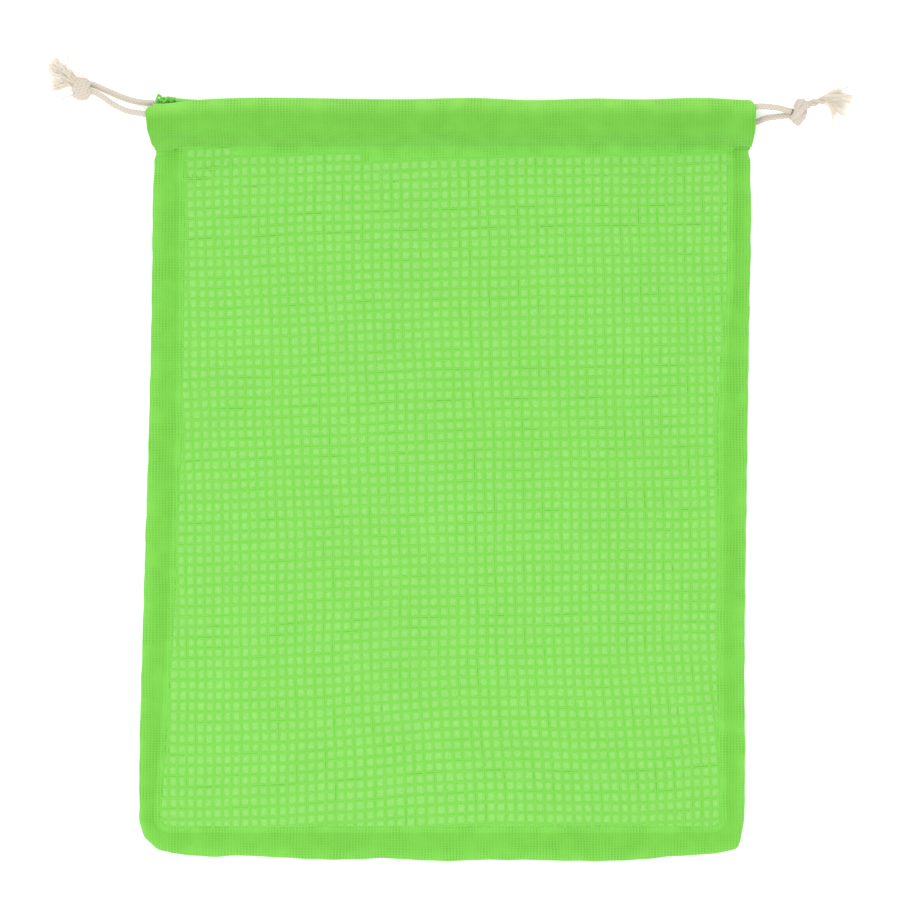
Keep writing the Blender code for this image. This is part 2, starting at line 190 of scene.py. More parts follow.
panel_low, panel_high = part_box("back_panel")
net_low, net_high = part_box("front_net")
hem_low, hem_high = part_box("front_hem")
back_hem_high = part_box("back_hem")[1]
FAR = 0.3
CORNER_Y = panel_low.y + 16 * MM
HEM_Y = hem_low.y
panel_z = (panel_low.z + panel_high.z) / 2
net_z = (net_low.z + net_high.z) / 2
panel_ys = np.linspace(CORNER_Y, panel_high.y - 0.2 * MM, 240)
panel_xs = np.linspace(panel_low.x + 0.3 * MM, panel_high.x - 0.3 * MM, 400)
net_ys = np.linspace(net_low.y + 0.2 * MM, net_high.y - 0.2 * MM, 240)
panel_left = edge_table("back_panel", panel_ys, lambda y: (-FAR, y, panel_z), (1, 0, 0), 0)
panel_right = edge_table("back_panel", panel_ys, lambda y: (FAR, y, panel_z), (-1, 0, 0), 0)
panel_bottom = edge_table("back_panel", panel_xs, lambda x: (x, -FAR, panel_z), (0, 1, 0), 1, 2)
net_left = edge_table("front_net", net_ys, lambda y: (-FAR, y, net_z), (1, 0, 0), 0)
net_right = edge_table("front_net", net_ys, lambda y: (FAR, y, net_z), (-1, 0, 0), 0)
print("cloth", round(panel_high.x - panel_low.x, 4), "by", round(hem_high.y - panel_low.y, 4))

# %% [markdown]
# ## Mesh helpers
# A cloth is a grid of points with a second grid one thickness inside it, closed by a rim round
# every open edge. A yarn, a cord and a fibre are all rings of points along a line. Two helpers
# therefore make nearly every mesh of the bag, and one more turns the result the right way out.

# %% Mesh helpers
def add_mesh(name, points, faces, layers=(), sharp_deg=60.0):
    """Mesh object from numpy points and faces, without unused points and with faces outward.

    layers are (name, one number per point) pairs that the materials read.
    """
    used, packed = np.unique(np.concatenate([block.ravel() for block in faces]),
                             return_inverse=True)
    points = points[used]
    rows, start = [], 0
    for block in faces:
        rows.append(packed[start:start + block.size].reshape(block.shape))
        start += block.size
    volume = 0.0
    for block in rows:
        first = points[block[:, 0]]
        for k in range(1, block.shape[1] - 1):
            turn = np.cross(points[block[:, k]], points[block[:, k + 1]])
            volume += np.einsum("ij,ij->", first, turn)
    if volume < 0:
        rows = [block[:, ::-1] for block in rows]
    mesh = bpy.data.meshes.new(name)
    mesh.from_pydata(points.tolist(), [], [face for block in rows for face in block.tolist()])
    mesh.shade_smooth()
    mesh.set_sharp_from_angle(angle=math.radians(sharp_deg))
    piece = bpy.data.objects.new(name, mesh)
    bpy.context.scene.collection.objects.link(piece)
    for layer_name, values in layers:
        set_layer(piece, layer_name, np.asarray(values).ravel()[used])
    return piece


def grid_normals(grid, wrap=False):
    along = np.gradient(grid, axis=0)
    if wrap:
        across = np.roll(grid, -1, axis=1) - np.roll(grid, 1, axis=1)
    else:
        across = np.gradient(grid, axis=1)
    normal = np.cross(across, along)
    return normal / np.maximum(np.linalg.norm(normal, axis=2, keepdims=True), 1e-12)


def set_layer(piece, name, values):
    """Keep one number per vertex on a piece, for its material."""
    layer = piece.data.attributes.new(name, "FLOAT", "POINT")
    layer.data.foreach_set("value", np.ascontiguousarray(values, dtype=np.float32))


def add_shell(name, outer, inner, keep=None, wrap=False, layers=()):
    """Closed cloth between two grids of the same size; keep says which cells have cloth."""
    rows, columns = outer.shape[:2]
    size = rows * columns
    index = np.arange(size).reshape(rows, columns)
    here = index if wrap else index[:, :-1]
    after = np.roll(index, -1, axis=1) if wrap else index[:, 1:]
    quads = np.stack([here[:-1], here[1:], after[1:], after[:-1]], axis=-1)
    quads = quads[keep] if keep is not None else quads.reshape(-1, 4)
    starts, ends = quads.ravel(), np.roll(quads, -1, axis=1).ravel()
    open_edge = ~np.isin(starts * size + ends, ends * size + starts)
    a, b = starts[open_edge], ends[open_edge]
    rim = np.stack([b, a, a + size, b + size], axis=1)
    points = np.concatenate([outer.reshape(-1, 3), inner.reshape(-1, 3)])
    both = [(label, np.concatenate([values.ravel(), values.ravel()])) for label, values in layers]
    return add_mesh(name, points, [quads, quads[:, ::-1] + size, rim], both)


def tube_rings(line, side, up, half_width, half_height, sides):
    """Rings round a line, from the two directions square to it."""
    angles = np.linspace(0.0, 2 * math.pi, sides, endpoint=False)
    ring = (side[:, None, :] * np.cos(angles)[None, :, None] * half_width
            + up[:, None, :] * np.sin(angles)[None, :, None] * half_height)
    return line[:, None, :] + ring


def add_tubes(name, bundles, values=None, layer="groove_shade_and_warmth"):
    """One mesh of many closed tubes, each a grid of rings; values has a number per point."""
    points, quads, caps, start = [], [], [], 0
    for rings in bundles:
        count, sides = rings.shape[:2]
        index = start + np.arange(count * sides).reshape(count, sides)
        after = np.roll(index, -1, axis=1)
        quads.append(np.stack([index[:-1], after[:-1], after[1:], index[1:]], axis=-1).reshape(-1, 4))
        caps.append(index[0][::-1])
        caps.append(index[-1])
        points.append(rings.reshape(-1, 3))
        start += count * sides
    layers = [(layer, np.concatenate([grid.ravel() for grid in values]))] if values else []
    return add_mesh(name, np.concatenate(points), [np.concatenate(quads), np.array(caps)], layers)


def smooth_line(route, step):
    """Points a step apart on the smooth curve through a route's own points."""
    spots = np.array(route)
    spots = np.concatenate([[2 * spots[0] - spots[1]], spots, [2 * spots[-1] - spots[-2]]])
    fine = []
    for k in range(1, len(spots) - 2):
        before, start, end, after = spots[k - 1:k + 3]
        t = np.linspace(0, 1, 60, endpoint=False)[:, None]
        fine.append(0.5 * (2 * start + (end - before) * t
                           + (2 * before - 5 * start + 4 * end - after) * t ** 2
                           + (3 * start - before - 3 * end + after) * t ** 3))
    fine = np.concatenate(fine + [spots[-2:-1]])
    run = run_along(fine)
    stops = np.linspace(0.0, run[-1], max(int(run[-1] / step), 4) + 1)
    return np.stack([np.interp(stops, run, fine[:, axis]) for axis in range(3)], axis=-1)


def run_along(line):
    """Distance along a line at each of its points."""
    return np.concatenate([[0.0], np.cumsum(np.linalg.norm(np.diff(line, axis=0), axis=1))])


def triangles(piece):
    piece.data.calc_loop_triangles()
    return len(piece.data.loop_triangles)


# %% [markdown]
# ## Shader groups
# All the green cloths share one plain weave, and every piece of cotton shares the same faint
# mottling of its dye, with painted glints where its fibres catch the light. Each effect is a node
# group that is built once and placed in the materials with its own values. In a plain weave every
# thread goes over one and under the next, so a wave of twice the pitch says which thread family
# lies on top at a crossing, and shade is painted into the small holes between four crossings. The
# painted shade is clearer in some patches than in others, as in real cloth that was pressed unevenly.

# %% Shader groups
def new_group(name, inputs, outputs):
    """Empty node group with named sockets."""
    group = bpy.data.node_groups.new(name, "ShaderNodeTree")
    for label, kind, value in inputs:
        socket = group.interface.new_socket(name=label, in_out="INPUT", socket_type=kind)
        if value is not None:
            socket.default_value = value
    for label, kind in outputs:
        group.interface.new_socket(name=label, in_out="OUTPUT", socket_type=kind)
    return group, group.nodes.new("NodeGroupInput"), group.nodes.new("NodeGroupOutput")


def math_node(tree, operation, first, second=None):
    """Math node on sockets or numbers; returns its result."""
    node = tree.nodes.new("ShaderNodeMath")
    node.operation = operation
    for socket, value in zip(node.inputs, (first, second)):
        if value is None:
            continue
        if isinstance(value, (int, float)):
            socket.default_value = value
        else:
            tree.links.new(value, socket)
    return node.outputs[0]


def vector_node(tree, operation, first, second, socket_name=None):
    """Vector math node; second goes to its second vector or to a named socket."""
    node = tree.nodes.new("ShaderNodeVectorMath")
    node.operation = operation
    tree.links.new(first, node.inputs[0])
    target = node.inputs[socket_name] if socket_name else node.inputs[1]
    if isinstance(second, (tuple, float)):
        target.default_value = second
    else:
        tree.links.new(second, target)
    return node.outputs[0]


def noise_node(tree, place, scale, detail):
    """Noise texture at a place; returns the node."""
    noise = tree.nodes.new("ShaderNodeTexNoise")
    noise.inputs["Detail"].default_value = detail
    tree.links.new(place, noise.inputs["Vector"])
    if isinstance(scale, float):
        noise.inputs["Scale"].default_value = scale
    else:
        tree.links.new(scale, noise.inputs["Scale"])
    return noise


WANDER_SCALE = 80.0
PATCH_SCALE = 120.0
PATCH_START, PATCH_GAIN = 0.28, 2.6
THREAD_ROUND, THREAD_SWING = 0.55, 0.45
HOLE_SHARE, SLIT_SHARE = 0.75, 0.25


def build_weave_group():
    """Height of a plain weave and the shade painted in its holes, from the place on the cloth and its
    thread pitch.
    """
    group, entry, leave = new_group(
        "plain_weave",
        [("Place", "NodeSocketVector", None), ("Pitch Across", "NodeSocketFloat", 1.5 * MM),
         ("Pitch Along", "NodeSocketFloat", 1.0 * MM), ("Wander", "NodeSocketFloat", 1.2 * MM)],
        [("Height", "NodeSocketFloat"), ("Hole Shade", "NodeSocketFloat")])
    place = entry.outputs["Place"]
    wander = noise_node(group, place, WANDER_SCALE, 1.0)
    around = vector_node(group, "SUBTRACT", wander.outputs["Color"], (0.5, 0.5, 0.5))
    shift = vector_node(group, "SCALE", around, entry.outputs["Wander"], "Scale")
    split = group.nodes.new("ShaderNodeSeparateXYZ")
    group.links.new(vector_node(group, "ADD", place, shift), split.inputs[0])
    threads, over = [], []
    for axis, pitch in (("X", "Pitch Across"), ("Y", "Pitch Along")):
        half_turn = math_node(group, "MULTIPLY", math_node(
            group, "DIVIDE", split.outputs[axis], entry.outputs[pitch]), math.pi)
        swing = math_node(group, "COSINE", half_turn)
        over.append(swing)
        threads.append(math_node(group, "MULTIPLY", swing, swing))
    crossing = math_node(group, "MULTIPLY", over[0], over[1])
    side = math_node(group, "MULTIPLY", crossing, THREAD_SWING)
    upright = math_node(group, "MULTIPLY", threads[0], math_node(group, "ADD", THREAD_ROUND, side))
    level = math_node(group, "MULTIPLY", threads[1],
                      math_node(group, "SUBTRACT", THREAD_ROUND, side))
    group.links.new(math_node(group, "MAXIMUM", upright, level), leave.inputs["Height"])
    between_level = math_node(group, "SUBTRACT", 1.0, threads[1])
    between_upright = math_node(group, "SUBTRACT", 1.0, threads[0])
    gap = math_node(group, "MULTIPLY", between_level, HOLE_SHARE)
    hole = math_node(group, "MULTIPLY", between_upright, math_node(group, "ADD", gap, SLIT_SHARE))
    patches = noise_node(group, place, PATCH_SCALE, 2.0)
    above = math_node(group, "SUBTRACT", patches.outputs["Fac"], PATCH_START)
    clear = math_node(group, "MULTIPLY", above, PATCH_GAIN)
    clear = math_node(group, "MAXIMUM", math_node(group, "MINIMUM", clear, 1.0), 0.0)
    group.links.new(math_node(group, "MULTIPLY", hole, clear), leave.inputs["Hole Shade"])
    return group


CLOUD_SCALE = 28.0


def build_dye_and_glint_group():
    """Cotton's uneven dye in broad clouds, and short specks of painted light and shade where fibres
    catch the light.
    """
    group, entry, leave = new_group(
        "uneven_dye_and_glints",
        [("Place", "NodeSocketVector", None), ("Color", "NodeSocketColor", (1, 1, 1, 1)),
         ("Clouds", "NodeSocketFloat", 0.1), ("Specks", "NodeSocketFloat", 0.1),
         ("Speck Scale", "NodeSocketFloat", 2500.0)],
        [("Color", "NodeSocketColor"), ("Speck", "NodeSocketFloat")])
    place = entry.outputs["Place"]
    clouds = noise_node(group, place, CLOUD_SCALE, 3.0)
    specks = noise_node(group, place, entry.outputs["Speck Scale"], 2.0)
    parts = []
    for noise, amount in ((clouds, "Clouds"), (specks, "Specks")):
        around = math_node(group, "SUBTRACT", noise.outputs["Fac"], 0.5)
        parts.append(math_node(group, "MULTIPLY", around, entry.outputs[amount]))
    level = math_node(group, "ADD", math_node(group, "ADD", parts[0], parts[1]), 1.0)
    group.links.new(vector_node(group, "SCALE", entry.outputs["Color"], level, "Scale"),
                    leave.inputs["Color"])
    group.links.new(specks.outputs["Fac"], leave.inputs["Speck"])
    return group


plain_weave = build_weave_group()
uneven_dye_and_glints = build_dye_and_glint_group()

# %% [markdown]
# ## Materials
# The hems and the turned-in borders are two layers thick, so their green is deeper. One layer
# is brighter, and the back cloth, which light passes through, is paler still. The hems' top folds
# and lower edges get a painted highlight, and the borders' outer edges are partly one layer and
# partly painted edge light. The net's yarns are softly spun, with no weave of their own, and the
# outer side of each pair gets a painted highlight. The cords are undyed cotton, with painted
# shade between their braided strands. Where two colours meet on one cloth, a number kept on its
# mesh says how much there is of each.

# %% Materials
LIGHT_LEVEL = 1.34
COTTON_ROUGHNESS = 0.9
COTTON_SHINE = 0.15
RELIEF_DEPTH = 0.25 * MM


def seen(red, green, blue, gain=1.0):
    """Base colour that looks like the usual 0 to 255 values under this scene's light.

    gain makes up for the light that thin fibres take from each other.
    """
    values = [channel / 255 for channel in (red, green, blue)]
    linear = [v / 12.92 if v <= 0.04045 else ((v + 0.055) / 1.055) ** 2.4 for v in values]
    return tuple(v * gain / LIGHT_LEVEL for v in linear)


def mix_colours(tree, amount, first, second):
    """Colour between two; amount and the colours are sockets or values."""
    node = tree.nodes.new("ShaderNodeMix")
    node.data_type = "RGBA"
    for socket, value in ((node.inputs[0], amount), (node.inputs[6], first), (node.inputs[7], second)):
        if isinstance(value, tuple):
            socket.default_value = (*value, 1.0)
        else:
            tree.links.new(value, socket)
    return node.outputs[2]


def cotton_material(name, colour, weave=None, hole_shade_colour=None, other=None, bump=0.3,
                    clouds=0.05, specks=0.08, speck_scale=2500.0, sheen=0.12):
    """Matt cotton; weave is the (across, along) pitch of its threads, or None for a yarn.

    other is (attribute, colour): the attribute is 1 where the cloth has that colour instead.
    """
    material = bpy.data.materials.new(name)
    material.use_nodes = True
    tree = material.node_tree
    shader = tree.nodes["Principled BSDF"]
    shader.inputs["Roughness"].default_value = COTTON_ROUGHNESS
    shader.inputs["Sheen Weight"].default_value = sheen
    shader.inputs["Sheen Roughness"].default_value = 0.5
    shader.inputs["Specular IOR Level"].default_value = COTTON_SHINE
    place = tree.nodes.new("ShaderNodeTexCoord").outputs["Object"]
    # Dye clouds and painted glints on the cotton's colour.
    dye_and_glint_node = tree.nodes.new("ShaderNodeGroup")
    dye_and_glint_node.node_tree = uneven_dye_and_glints
    dye_and_glint_node.inputs["Color"].default_value = (*colour, 1.0)
    dye_and_glint_node.inputs["Clouds"].default_value = clouds
    dye_and_glint_node.inputs["Specks"].default_value = specks
    dye_and_glint_node.inputs["Speck Scale"].default_value = speck_scale
    tree.links.new(place, dye_and_glint_node.inputs["Place"])
    if other is not None:
        layer = tree.nodes.new("ShaderNodeAttribute")
        layer.attribute_name = other[0]
        tree.links.new(mix_colours(tree, layer.outputs["Fac"], colour, other[1]),
                       dye_and_glint_node.inputs["Color"])
    relief = tree.nodes.new("ShaderNodeBump")
    relief.inputs["Strength"].default_value = bump
    relief.inputs["Distance"].default_value = RELIEF_DEPTH
    final_colour = dye_and_glint_node.outputs["Color"]
    height = dye_and_glint_node.outputs["Speck"]
    if weave is not None:
        threads = tree.nodes.new("ShaderNodeGroup")
        threads.node_tree = plain_weave
        threads.inputs["Pitch Across"].default_value = weave[0]
        threads.inputs["Pitch Along"].default_value = weave[1]
        tree.links.new(place, threads.inputs["Place"])
        # Painted shade in the holes of the weave.
        final_colour = mix_colours(tree, threads.outputs["Hole Shade"], final_colour, hole_shade_colour)
        height = threads.outputs["Height"]
    tree.links.new(final_colour, shader.inputs["Base Color"])
    tree.links.new(height, relief.inputs["Height"])
    tree.links.new(relief.outputs["Normal"], shader.inputs["Normal"])
    return material


DENSE_PITCH = (1.30 * MM, 1.10 * MM)
THIN_PITCH = (0.92 * MM, 0.84 * MM)
HEM_GREEN = seen(124, 210, 75)
# Painted highlight on the hems' rounded top folds and lower edges.
HEM_LIT_RIM_GREEN = seen(150, 232, 97)
BORDER_GREEN = seen(129, 217, 80)
# One layer of cloth. At the borders' outer edges this colour is also painted edge light.
SINGLE_AND_LIT_EDGE_GREEN = seen(137, 227, 89)
# Painted shade in the holes between the threads of the dense cloths.
HOLE_SHADE_GREEN = seen(104, 188, 57)
FIBRE_GAIN = 1.24
hem_cotton = cotton_material("hem_cotton", HEM_LIT_RIM_GREEN, DENSE_PITCH, HOLE_SHADE_GREEN,
                             other=("doubled_not_edge_lit", HEM_GREEN), bump=0.35, clouds=0.16, sheen=0.2)
border_cotton = cotton_material("border_cotton", SINGLE_AND_LIT_EDGE_GREEN, DENSE_PITCH, HOLE_SHADE_GREEN,
                                other=("doubled_not_edge_lit", BORDER_GREEN), bump=0.35, clouds=0.12,
                                sheen=0.2)
# The back cloth's second colour is painted shade in the holes of its weave.
back_cotton = cotton_material("back_cotton", seen(154, 232, 113), THIN_PITCH,
                              seen(145, 227, 101), bump=0.2, clouds=0.10, specks=0.30,
                              speck_scale=900.0)
# Yarn colour, with a paler painted highlight on the outer side of each pair of yarns.
yarn_cotton = cotton_material("yarn_cotton", seen(128, 222, 79), bump=0.2, sheen=0.2,
                              other=("painted_side_light", seen(148, 230, 104)))
thread_cotton = cotton_material("thread_cotton", seen(126, 212, 78), bump=0.2)
# Undyed cotton, with painted shade in the grooves between the braided strands.
cord_cotton = cotton_material("cord_cotton", seen(236, 226, 212), bump=0.3, specks=0.16,
                              speck_scale=1400.0, other=("groove_shade_and_warmth", seen(212, 197, 179)))
# The fibres' second colour is only a warmer tone of the cotton.
fray_cotton = cotton_material("fray_cotton", seen(245, 239, 228, FIBRE_GAIN), bump=0.1,
                              clouds=0.03, specks=0.10, speck_scale=900.0, sheen=0.3,
                              other=("groove_shade_and_warmth", seen(245, 230, 206, FIBRE_GAIN)))


def place_piece(piece, material, slot, *nodes):
    """Finish, body and CAD nodes of a new piece."""
    piece.data.materials.append(material)
    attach(piece, "root")
    if nodes:
        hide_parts(*nodes)
    print(piece.name, triangles(piece), "triangles")
    return piece


# %% [markdown]
# ## How the cloth lies
# No cloth lies dead flat. A sum of a few long waves lifts it by a fraction of a millimetre, and
# a handful of creases are named by their two ends. Both are functions of the place alone, so
# the net, the borders and the hems rise and fall together.

# %% Waves and creases
# Each wave: share of the whole, turn per metre along x and along y, and start of its turn.
WAVES = (
    (0.45, 31.0, 17.0, 0.6),
    (0.30, -23.0, 52.0, 1.9),
    (0.15, 95.0, 41.0, 4.0),
    (0.10, 60.0, 130.0, 0.0),
)
WAVE_HEIGHT = 0.10


def waves_at(x, y):
    """Soft unevenness of the cloth, from about -1 to 1."""
    return sum(share * np.sin(turn_x * x + turn_y * y + start)
               for share, turn_x, turn_y, start in WAVES)


def crease_at(x, y, start, end, width):
    """1 on the line from start to end, fading to 0 over width and towards both ends."""
    way = np.subtract(end, start)
    length = np.linalg.norm(way)
    along = ((x - start[0]) * way[0] + (y - start[1]) * way[1]) / length ** 2
    off = np.abs((x - start[0]) * way[1] - (y - start[1]) * way[0]) / length
    taper = ease(-0.25, 0.25, along) * (1.0 - ease(0.75, 1.25, along))
    return taper * np.exp(-(off / width) ** 2)


# Each crease in millimetres: start, end, half width and height; a minus is a valley. The first
# ones are at the hem's left end and below it, then come its right end and the bottom corners.
CREASES = (
    ((-124, 150.5), (-97, 152.0), 1.5, -0.40),
    ((-124, 143.5), (-105, 150.0), 2.0, 0.35),
    ((-123, 140.0), (-108, 142.5), 1.3, -0.80),
    ((-119.5, 105.6), (-112, 106.0), 0.7, 0.30),
    ((-119.5, 104.3), (-112, 104.6), 0.6, -0.35),
    ((-111, 126.6), (-100, 127.8), 0.9, 0.70),
    ((-111, 124.2), (-100, 125.6), 0.9, 0.60),
    ((-101, 128.2), (-89, 132.4), 0.9, 0.70),
    ((-101, 125.9), (-89, 130.1), 0.9, 0.60),
    ((-125, 134.8), (-114, 135.2), 0.6, -0.50),
    ((108, 141.8), (124, 134.0), 1.6, -0.45),
    ((114, 146.0), (128, 142.5), 1.4, -0.35),
    ((-114, -138), (-104, -145), 2.2, 0.30),
    ((-60, -132), (40, -138), 5.0, 0.25),
    ((72, -137), (112, -142), 2.2, 0.45),
    ((60, -122), (100, -134), 4.0, 0.35),
    ((-95, 60), (-60, 62), 6.0, 0.20),
    ((20, 90), (80, 84), 7.0, 0.20),
)


def lift_at(x, y):
    """Height of the cloth above its plain level, in metres."""
    lift = WAVE_HEIGHT * waves_at(x, y)
    for start, end, width, height in CREASES:
        ends = (np.array(start) * MM, np.array(end) * MM)
        lift = lift + height * crease_at(x, y, *ends, width * MM)
    return lift * MM


# %% [markdown]
# ## The back cloth
# The back is one thin plain-woven cloth. It could be a flat plane, but its edge is turned into
# the side seams, so here it stops short of the outline and the borders roll round it. It
# follows the same waves as the front, because the front lies on it.

# %% Back cloth
SEAM_INSET = 1.3 * MM
BACK_THICKNESS = 0.36 * MM
BACK_LEVEL = 0.74 * MM
BACK_DIP, BACK_RISE = 0.34 * MM, 0.30 * MM
BACK_TOP_Y = HEM_Y + 1.2 * MM
BACK_COLUMNS, BACK_ROWS = 180, 220


def panel_grid(columns, rows, inset, top_y):
    """Places over the bag's body, from the bottom edge up and from left to right."""
    u, v = np.meshgrid(np.linspace(0, 1, columns), np.linspace(0, 1, rows))
    foot = mix(panel_left(CORNER_Y) + inset, panel_right(CORNER_Y) - inset, u)
    y = mix(panel_bottom(foot) + inset, top_y, v)
    return mix(panel_left(y) + inset, panel_right(y) - inset, u), y


def make_back_cloth():
    x, y = panel_grid(BACK_COLUMNS, BACK_ROWS, SEAM_INSET, BACK_TOP_Y)
    z = BACK_LEVEL + np.clip(lift_at(x, y), -BACK_DIP, BACK_RISE)
    top = np.stack([x, y, z], axis=-1)
    piece = add_shell("back_cloth", top, top - np.array([0, 0, BACK_THICKNESS]))
    place_piece(piece, back_cotton, "lime_cloth", "back_panel")


make_back_cloth()

# %% [markdown]
# ## The open weave
# On the real bag the cells come from leaving threads out of a plain weave, so what is left is
# pairs of soft yarns that pass over and under each other. A pattern on a plane would look flat
# from the side, so every yarn is a real tube here. The pairs follow the cloth: the rows climb
# a little to the right, and the columns drift as they go down.

# %% Yarn routes
YARN_HALF_WIDTH = 0.37 * MM
YARN_HALF_HEIGHT = 0.15 * MM
YARN_SIDES = 6
PAIR_OFFSET = 0.28 * MM
OVER_UNDER = 0.08 * MM
YARN_LEVEL = 0.86 * MM
COLUMN_PITCH = 3.893 * MM
COLUMN_SWELL = 1.6 * MM
FIRST_COLUMN, LAST_COLUMN = -4, 64
ROW_PITCH = 4.12 * MM
ROW_GROWTH = 0.0025 * MM
FIRST_ROW, LAST_ROW = -2, 72
TUCK = 2.2 * MM
TOP_TUCK = 1.5 * MM
YARN_SHIFT = 0.08 * MM
YARN_WANDER = 0.10 * MM
WANDER_TURN = 215.0
NET_TOP = net_high.y
NET_BOTTOM = net_low.y


DRIFT = 4.0 * MM
CORNER_DRIFT = 5.0 * MM
ROW_SLOPE = 0.029
ROW_WAVE = 0.5 * MM
ROW_BOW = 1.5 * MM
COLUMN_FLUTTER, ROW_FLUTTER, SHORT_FLUTTER = 0.22 * MM, 0.20 * MM, 0.12 * MM


def column_drift(x, y):
    """How far a column has moved to the right at a height."""
    down = NET_TOP - y
    gentle = DRIFT * ease(0.0, 0.20, down) * (1.0 - 0.35 * ease(-0.05, 0.10, x))
    corner = CORNER_DRIFT * ease(0.205, 0.285, down) * ease(-0.10, 0.06, x)
    flutter = (COLUMN_FLUTTER * np.sin(75.0 * y + 40.0 * x)
               + SHORT_FLUTTER * np.sin(170.0 * y - 90.0 * x))
    return gentle + corner + flutter


def row_climb(x, y):
    """How far a row has moved up at a place across the cloth.

    Every row climbs to the right. Near the bottom the rows also bow, and rise at the right.
    """
    climb = ROW_SLOPE * (x - net_left(y)) + ROW_WAVE * np.sin(27.0 * (x + 0.055))
    curve = np.sin(34.0 * (x + 0.035)) + 2.2 * ease(0.04, 0.125, x)
    bow = ROW_BOW * ease(0.18, 0.27, NET_TOP - y) * curve
    flutter = (ROW_FLUTTER * np.sin(60.0 * x + 48.0 * y)
               + SHORT_FLUTTER * np.sin(160.0 * x - 75.0 * y))
    return climb + bow + flutter


def column_place(number):
    """Straight place of a column, with the pitch a little wider in the middle of the cloth."""
    swell = COLUMN_SWELL * np.sin(2 * math.pi * number / 60.0)
    return net_left(NET_TOP) + COLUMN_PITCH * (number - 1.7) - swell


def row_place(number):
    """Straight place of a row, with the pitch growing towards the bottom."""
    return NET_TOP + 1.0 * MM - ROW_PITCH * number - ROW_GROWTH * number ** 2


def yarn_rings(x, y, z, flat_side, outward):
    """Rings of one yarn, and how near each point is to the outer side of its pair, where a highlight
    is painted.

    flat_side is the level direction square to the yarn, and outward is its sign.
    """
    line = np.stack([x, y, z], axis=-1)
    side = np.tile(flat_side, (len(x), 1))
    up = np.cross(np.gradient(line, axis=0), side)
    up *= np.sign(up[:, 2:3]) / np.linalg.norm(up, axis=1, keepdims=True)
    rings = tube_rings(line, side, up, YARN_HALF_WIDTH, YARN_HALF_HEIGHT, YARN_SIDES)
    angles = np.linspace(0.0, 2 * math.pi, YARN_SIDES, endpoint=False)
    # Painted highlight on the outer side of each pair.
    painted_side_light = ease(-0.2, 1.0, outward * np.cos(angles))
    return rings, np.tile(painted_side_light, (len(x), 1))


def yarns_in_window(x, y, z, flat_side, outward):
    """Every stretch of a yarn that lies inside the window in the borders."""
    inside = ((x > net_left(y) - TUCK) & (x < net_right(y) + TUCK)
              & (y < NET_TOP + TOP_TUCK) & (y > NET_BOTTOM - TUCK))
    edges = np.flatnonzero(np.diff(np.concatenate([[0], inside.astype(int), [0]])))
    runs = [(a, b) for a, b in zip(edges[::2], edges[1::2]) if b - a > 3]
    return [yarn_rings(x[a:b], y[a:b], z[a:b], flat_side, outward) for a, b in runs]


def wander_of(rng, along):
    """Small side-to-side wander of one yarn."""
    phase = rng.uniform(0, 2 * math.pi)
    shift = rng.uniform(-YARN_SHIFT, YARN_SHIFT)
    return shift + YARN_WANDER * np.sin(WANDER_TURN * along + phase)


def column_yarns():
    rng = random.Random(11)
    numbers = np.arange(FIRST_ROW, LAST_ROW + 0.5, 0.5)
    straight = row_place(numbers)
    level_side = np.array([1.0, 0.0, 0.0])
    bundles = []
    for column in range(FIRST_COLUMN, LAST_COLUMN):
        for offset in (-PAIR_OFFSET, PAIR_OFFSET):
            x = column_place(column) + offset + wander_of(rng, straight)
            x = x + column_drift(x, straight)
            y = straight + row_climb(x, straight)
            over = np.cos(math.pi * (numbers + column))
            z = YARN_LEVEL + lift_at(x, y) + OVER_UNDER * over
            bundles += yarns_in_window(x, y, z, level_side, np.sign(offset))
    return bundles


def row_yarns():
    rng = random.Random(12)
    numbers = np.arange(FIRST_COLUMN, LAST_COLUMN, 0.5)
    straight = column_place(numbers)
    level_side = np.array([0.0, 1.0, 0.0])
    bundles = []
    for row in range(FIRST_ROW, LAST_ROW):
        for offset in (-PAIR_OFFSET, PAIR_OFFSET):
            level = row_place(row) + offset + wander_of(rng, straight)
            x = straight + column_drift(straight, level)
            y = level + row_climb(x, level)
            over = np.cos(math.pi * (numbers + row))
            z = YARN_LEVEL + lift_at(x, y) - OVER_UNDER * over
            bundles += yarns_in_window(x, y, z, level_side, np.sign(offset))
    return bundles


# %% Net
net_columns = add_tubes("net_columns", *zip(*column_yarns()), layer="painted_side_light")
net_rows = add_tubes("net_rows", *zip(*row_yarns()), layer="painted_side_light")
place_piece(net_columns, yarn_cotton, "lime_weave", "front_net")
place_piece(net_rows, yarn_cotton, "lime_weave")

# %% [markdown]
# ## The border
# Round three sides of the net the same cloth is woven densely and turned in at the seams. It
# could be three strips, but strips show a joint at each corner. Instead one band runs down the
# left side, round the bottom and up the right side. Its cross-section starts beside the net,
# down on the back cloth, comes up past the yarns, steps up again where the turned-in edge lies
# inside, goes round the outer edge and ends under the back. A number kept on the mesh says
# where the cloth is doubled. It is lower at the outer edge, which is partly one layer and partly
# painted edge light.

# %% Border band
BAND_STEP = 0.8 * MM
BAND_THICKNESS = 0.34 * MM
BAND_TUCK = 1.3 * MM
LEFT_NOTCH, RIGHT_NOTCH = 1.0 * MM, 0.7 * MM
NOTCH_START_Y, NOTCH_END_Y = HEM_Y - 4.6 * MM, HEM_Y - 1.6 * MM
OUTLINE_WOBBLE = 0.07 * MM
HEM_PRESS = 0.4
OUTLINE_REACH = 4
INNER_CORNER = 4.5 * MM
CORNER_STEPS = 70
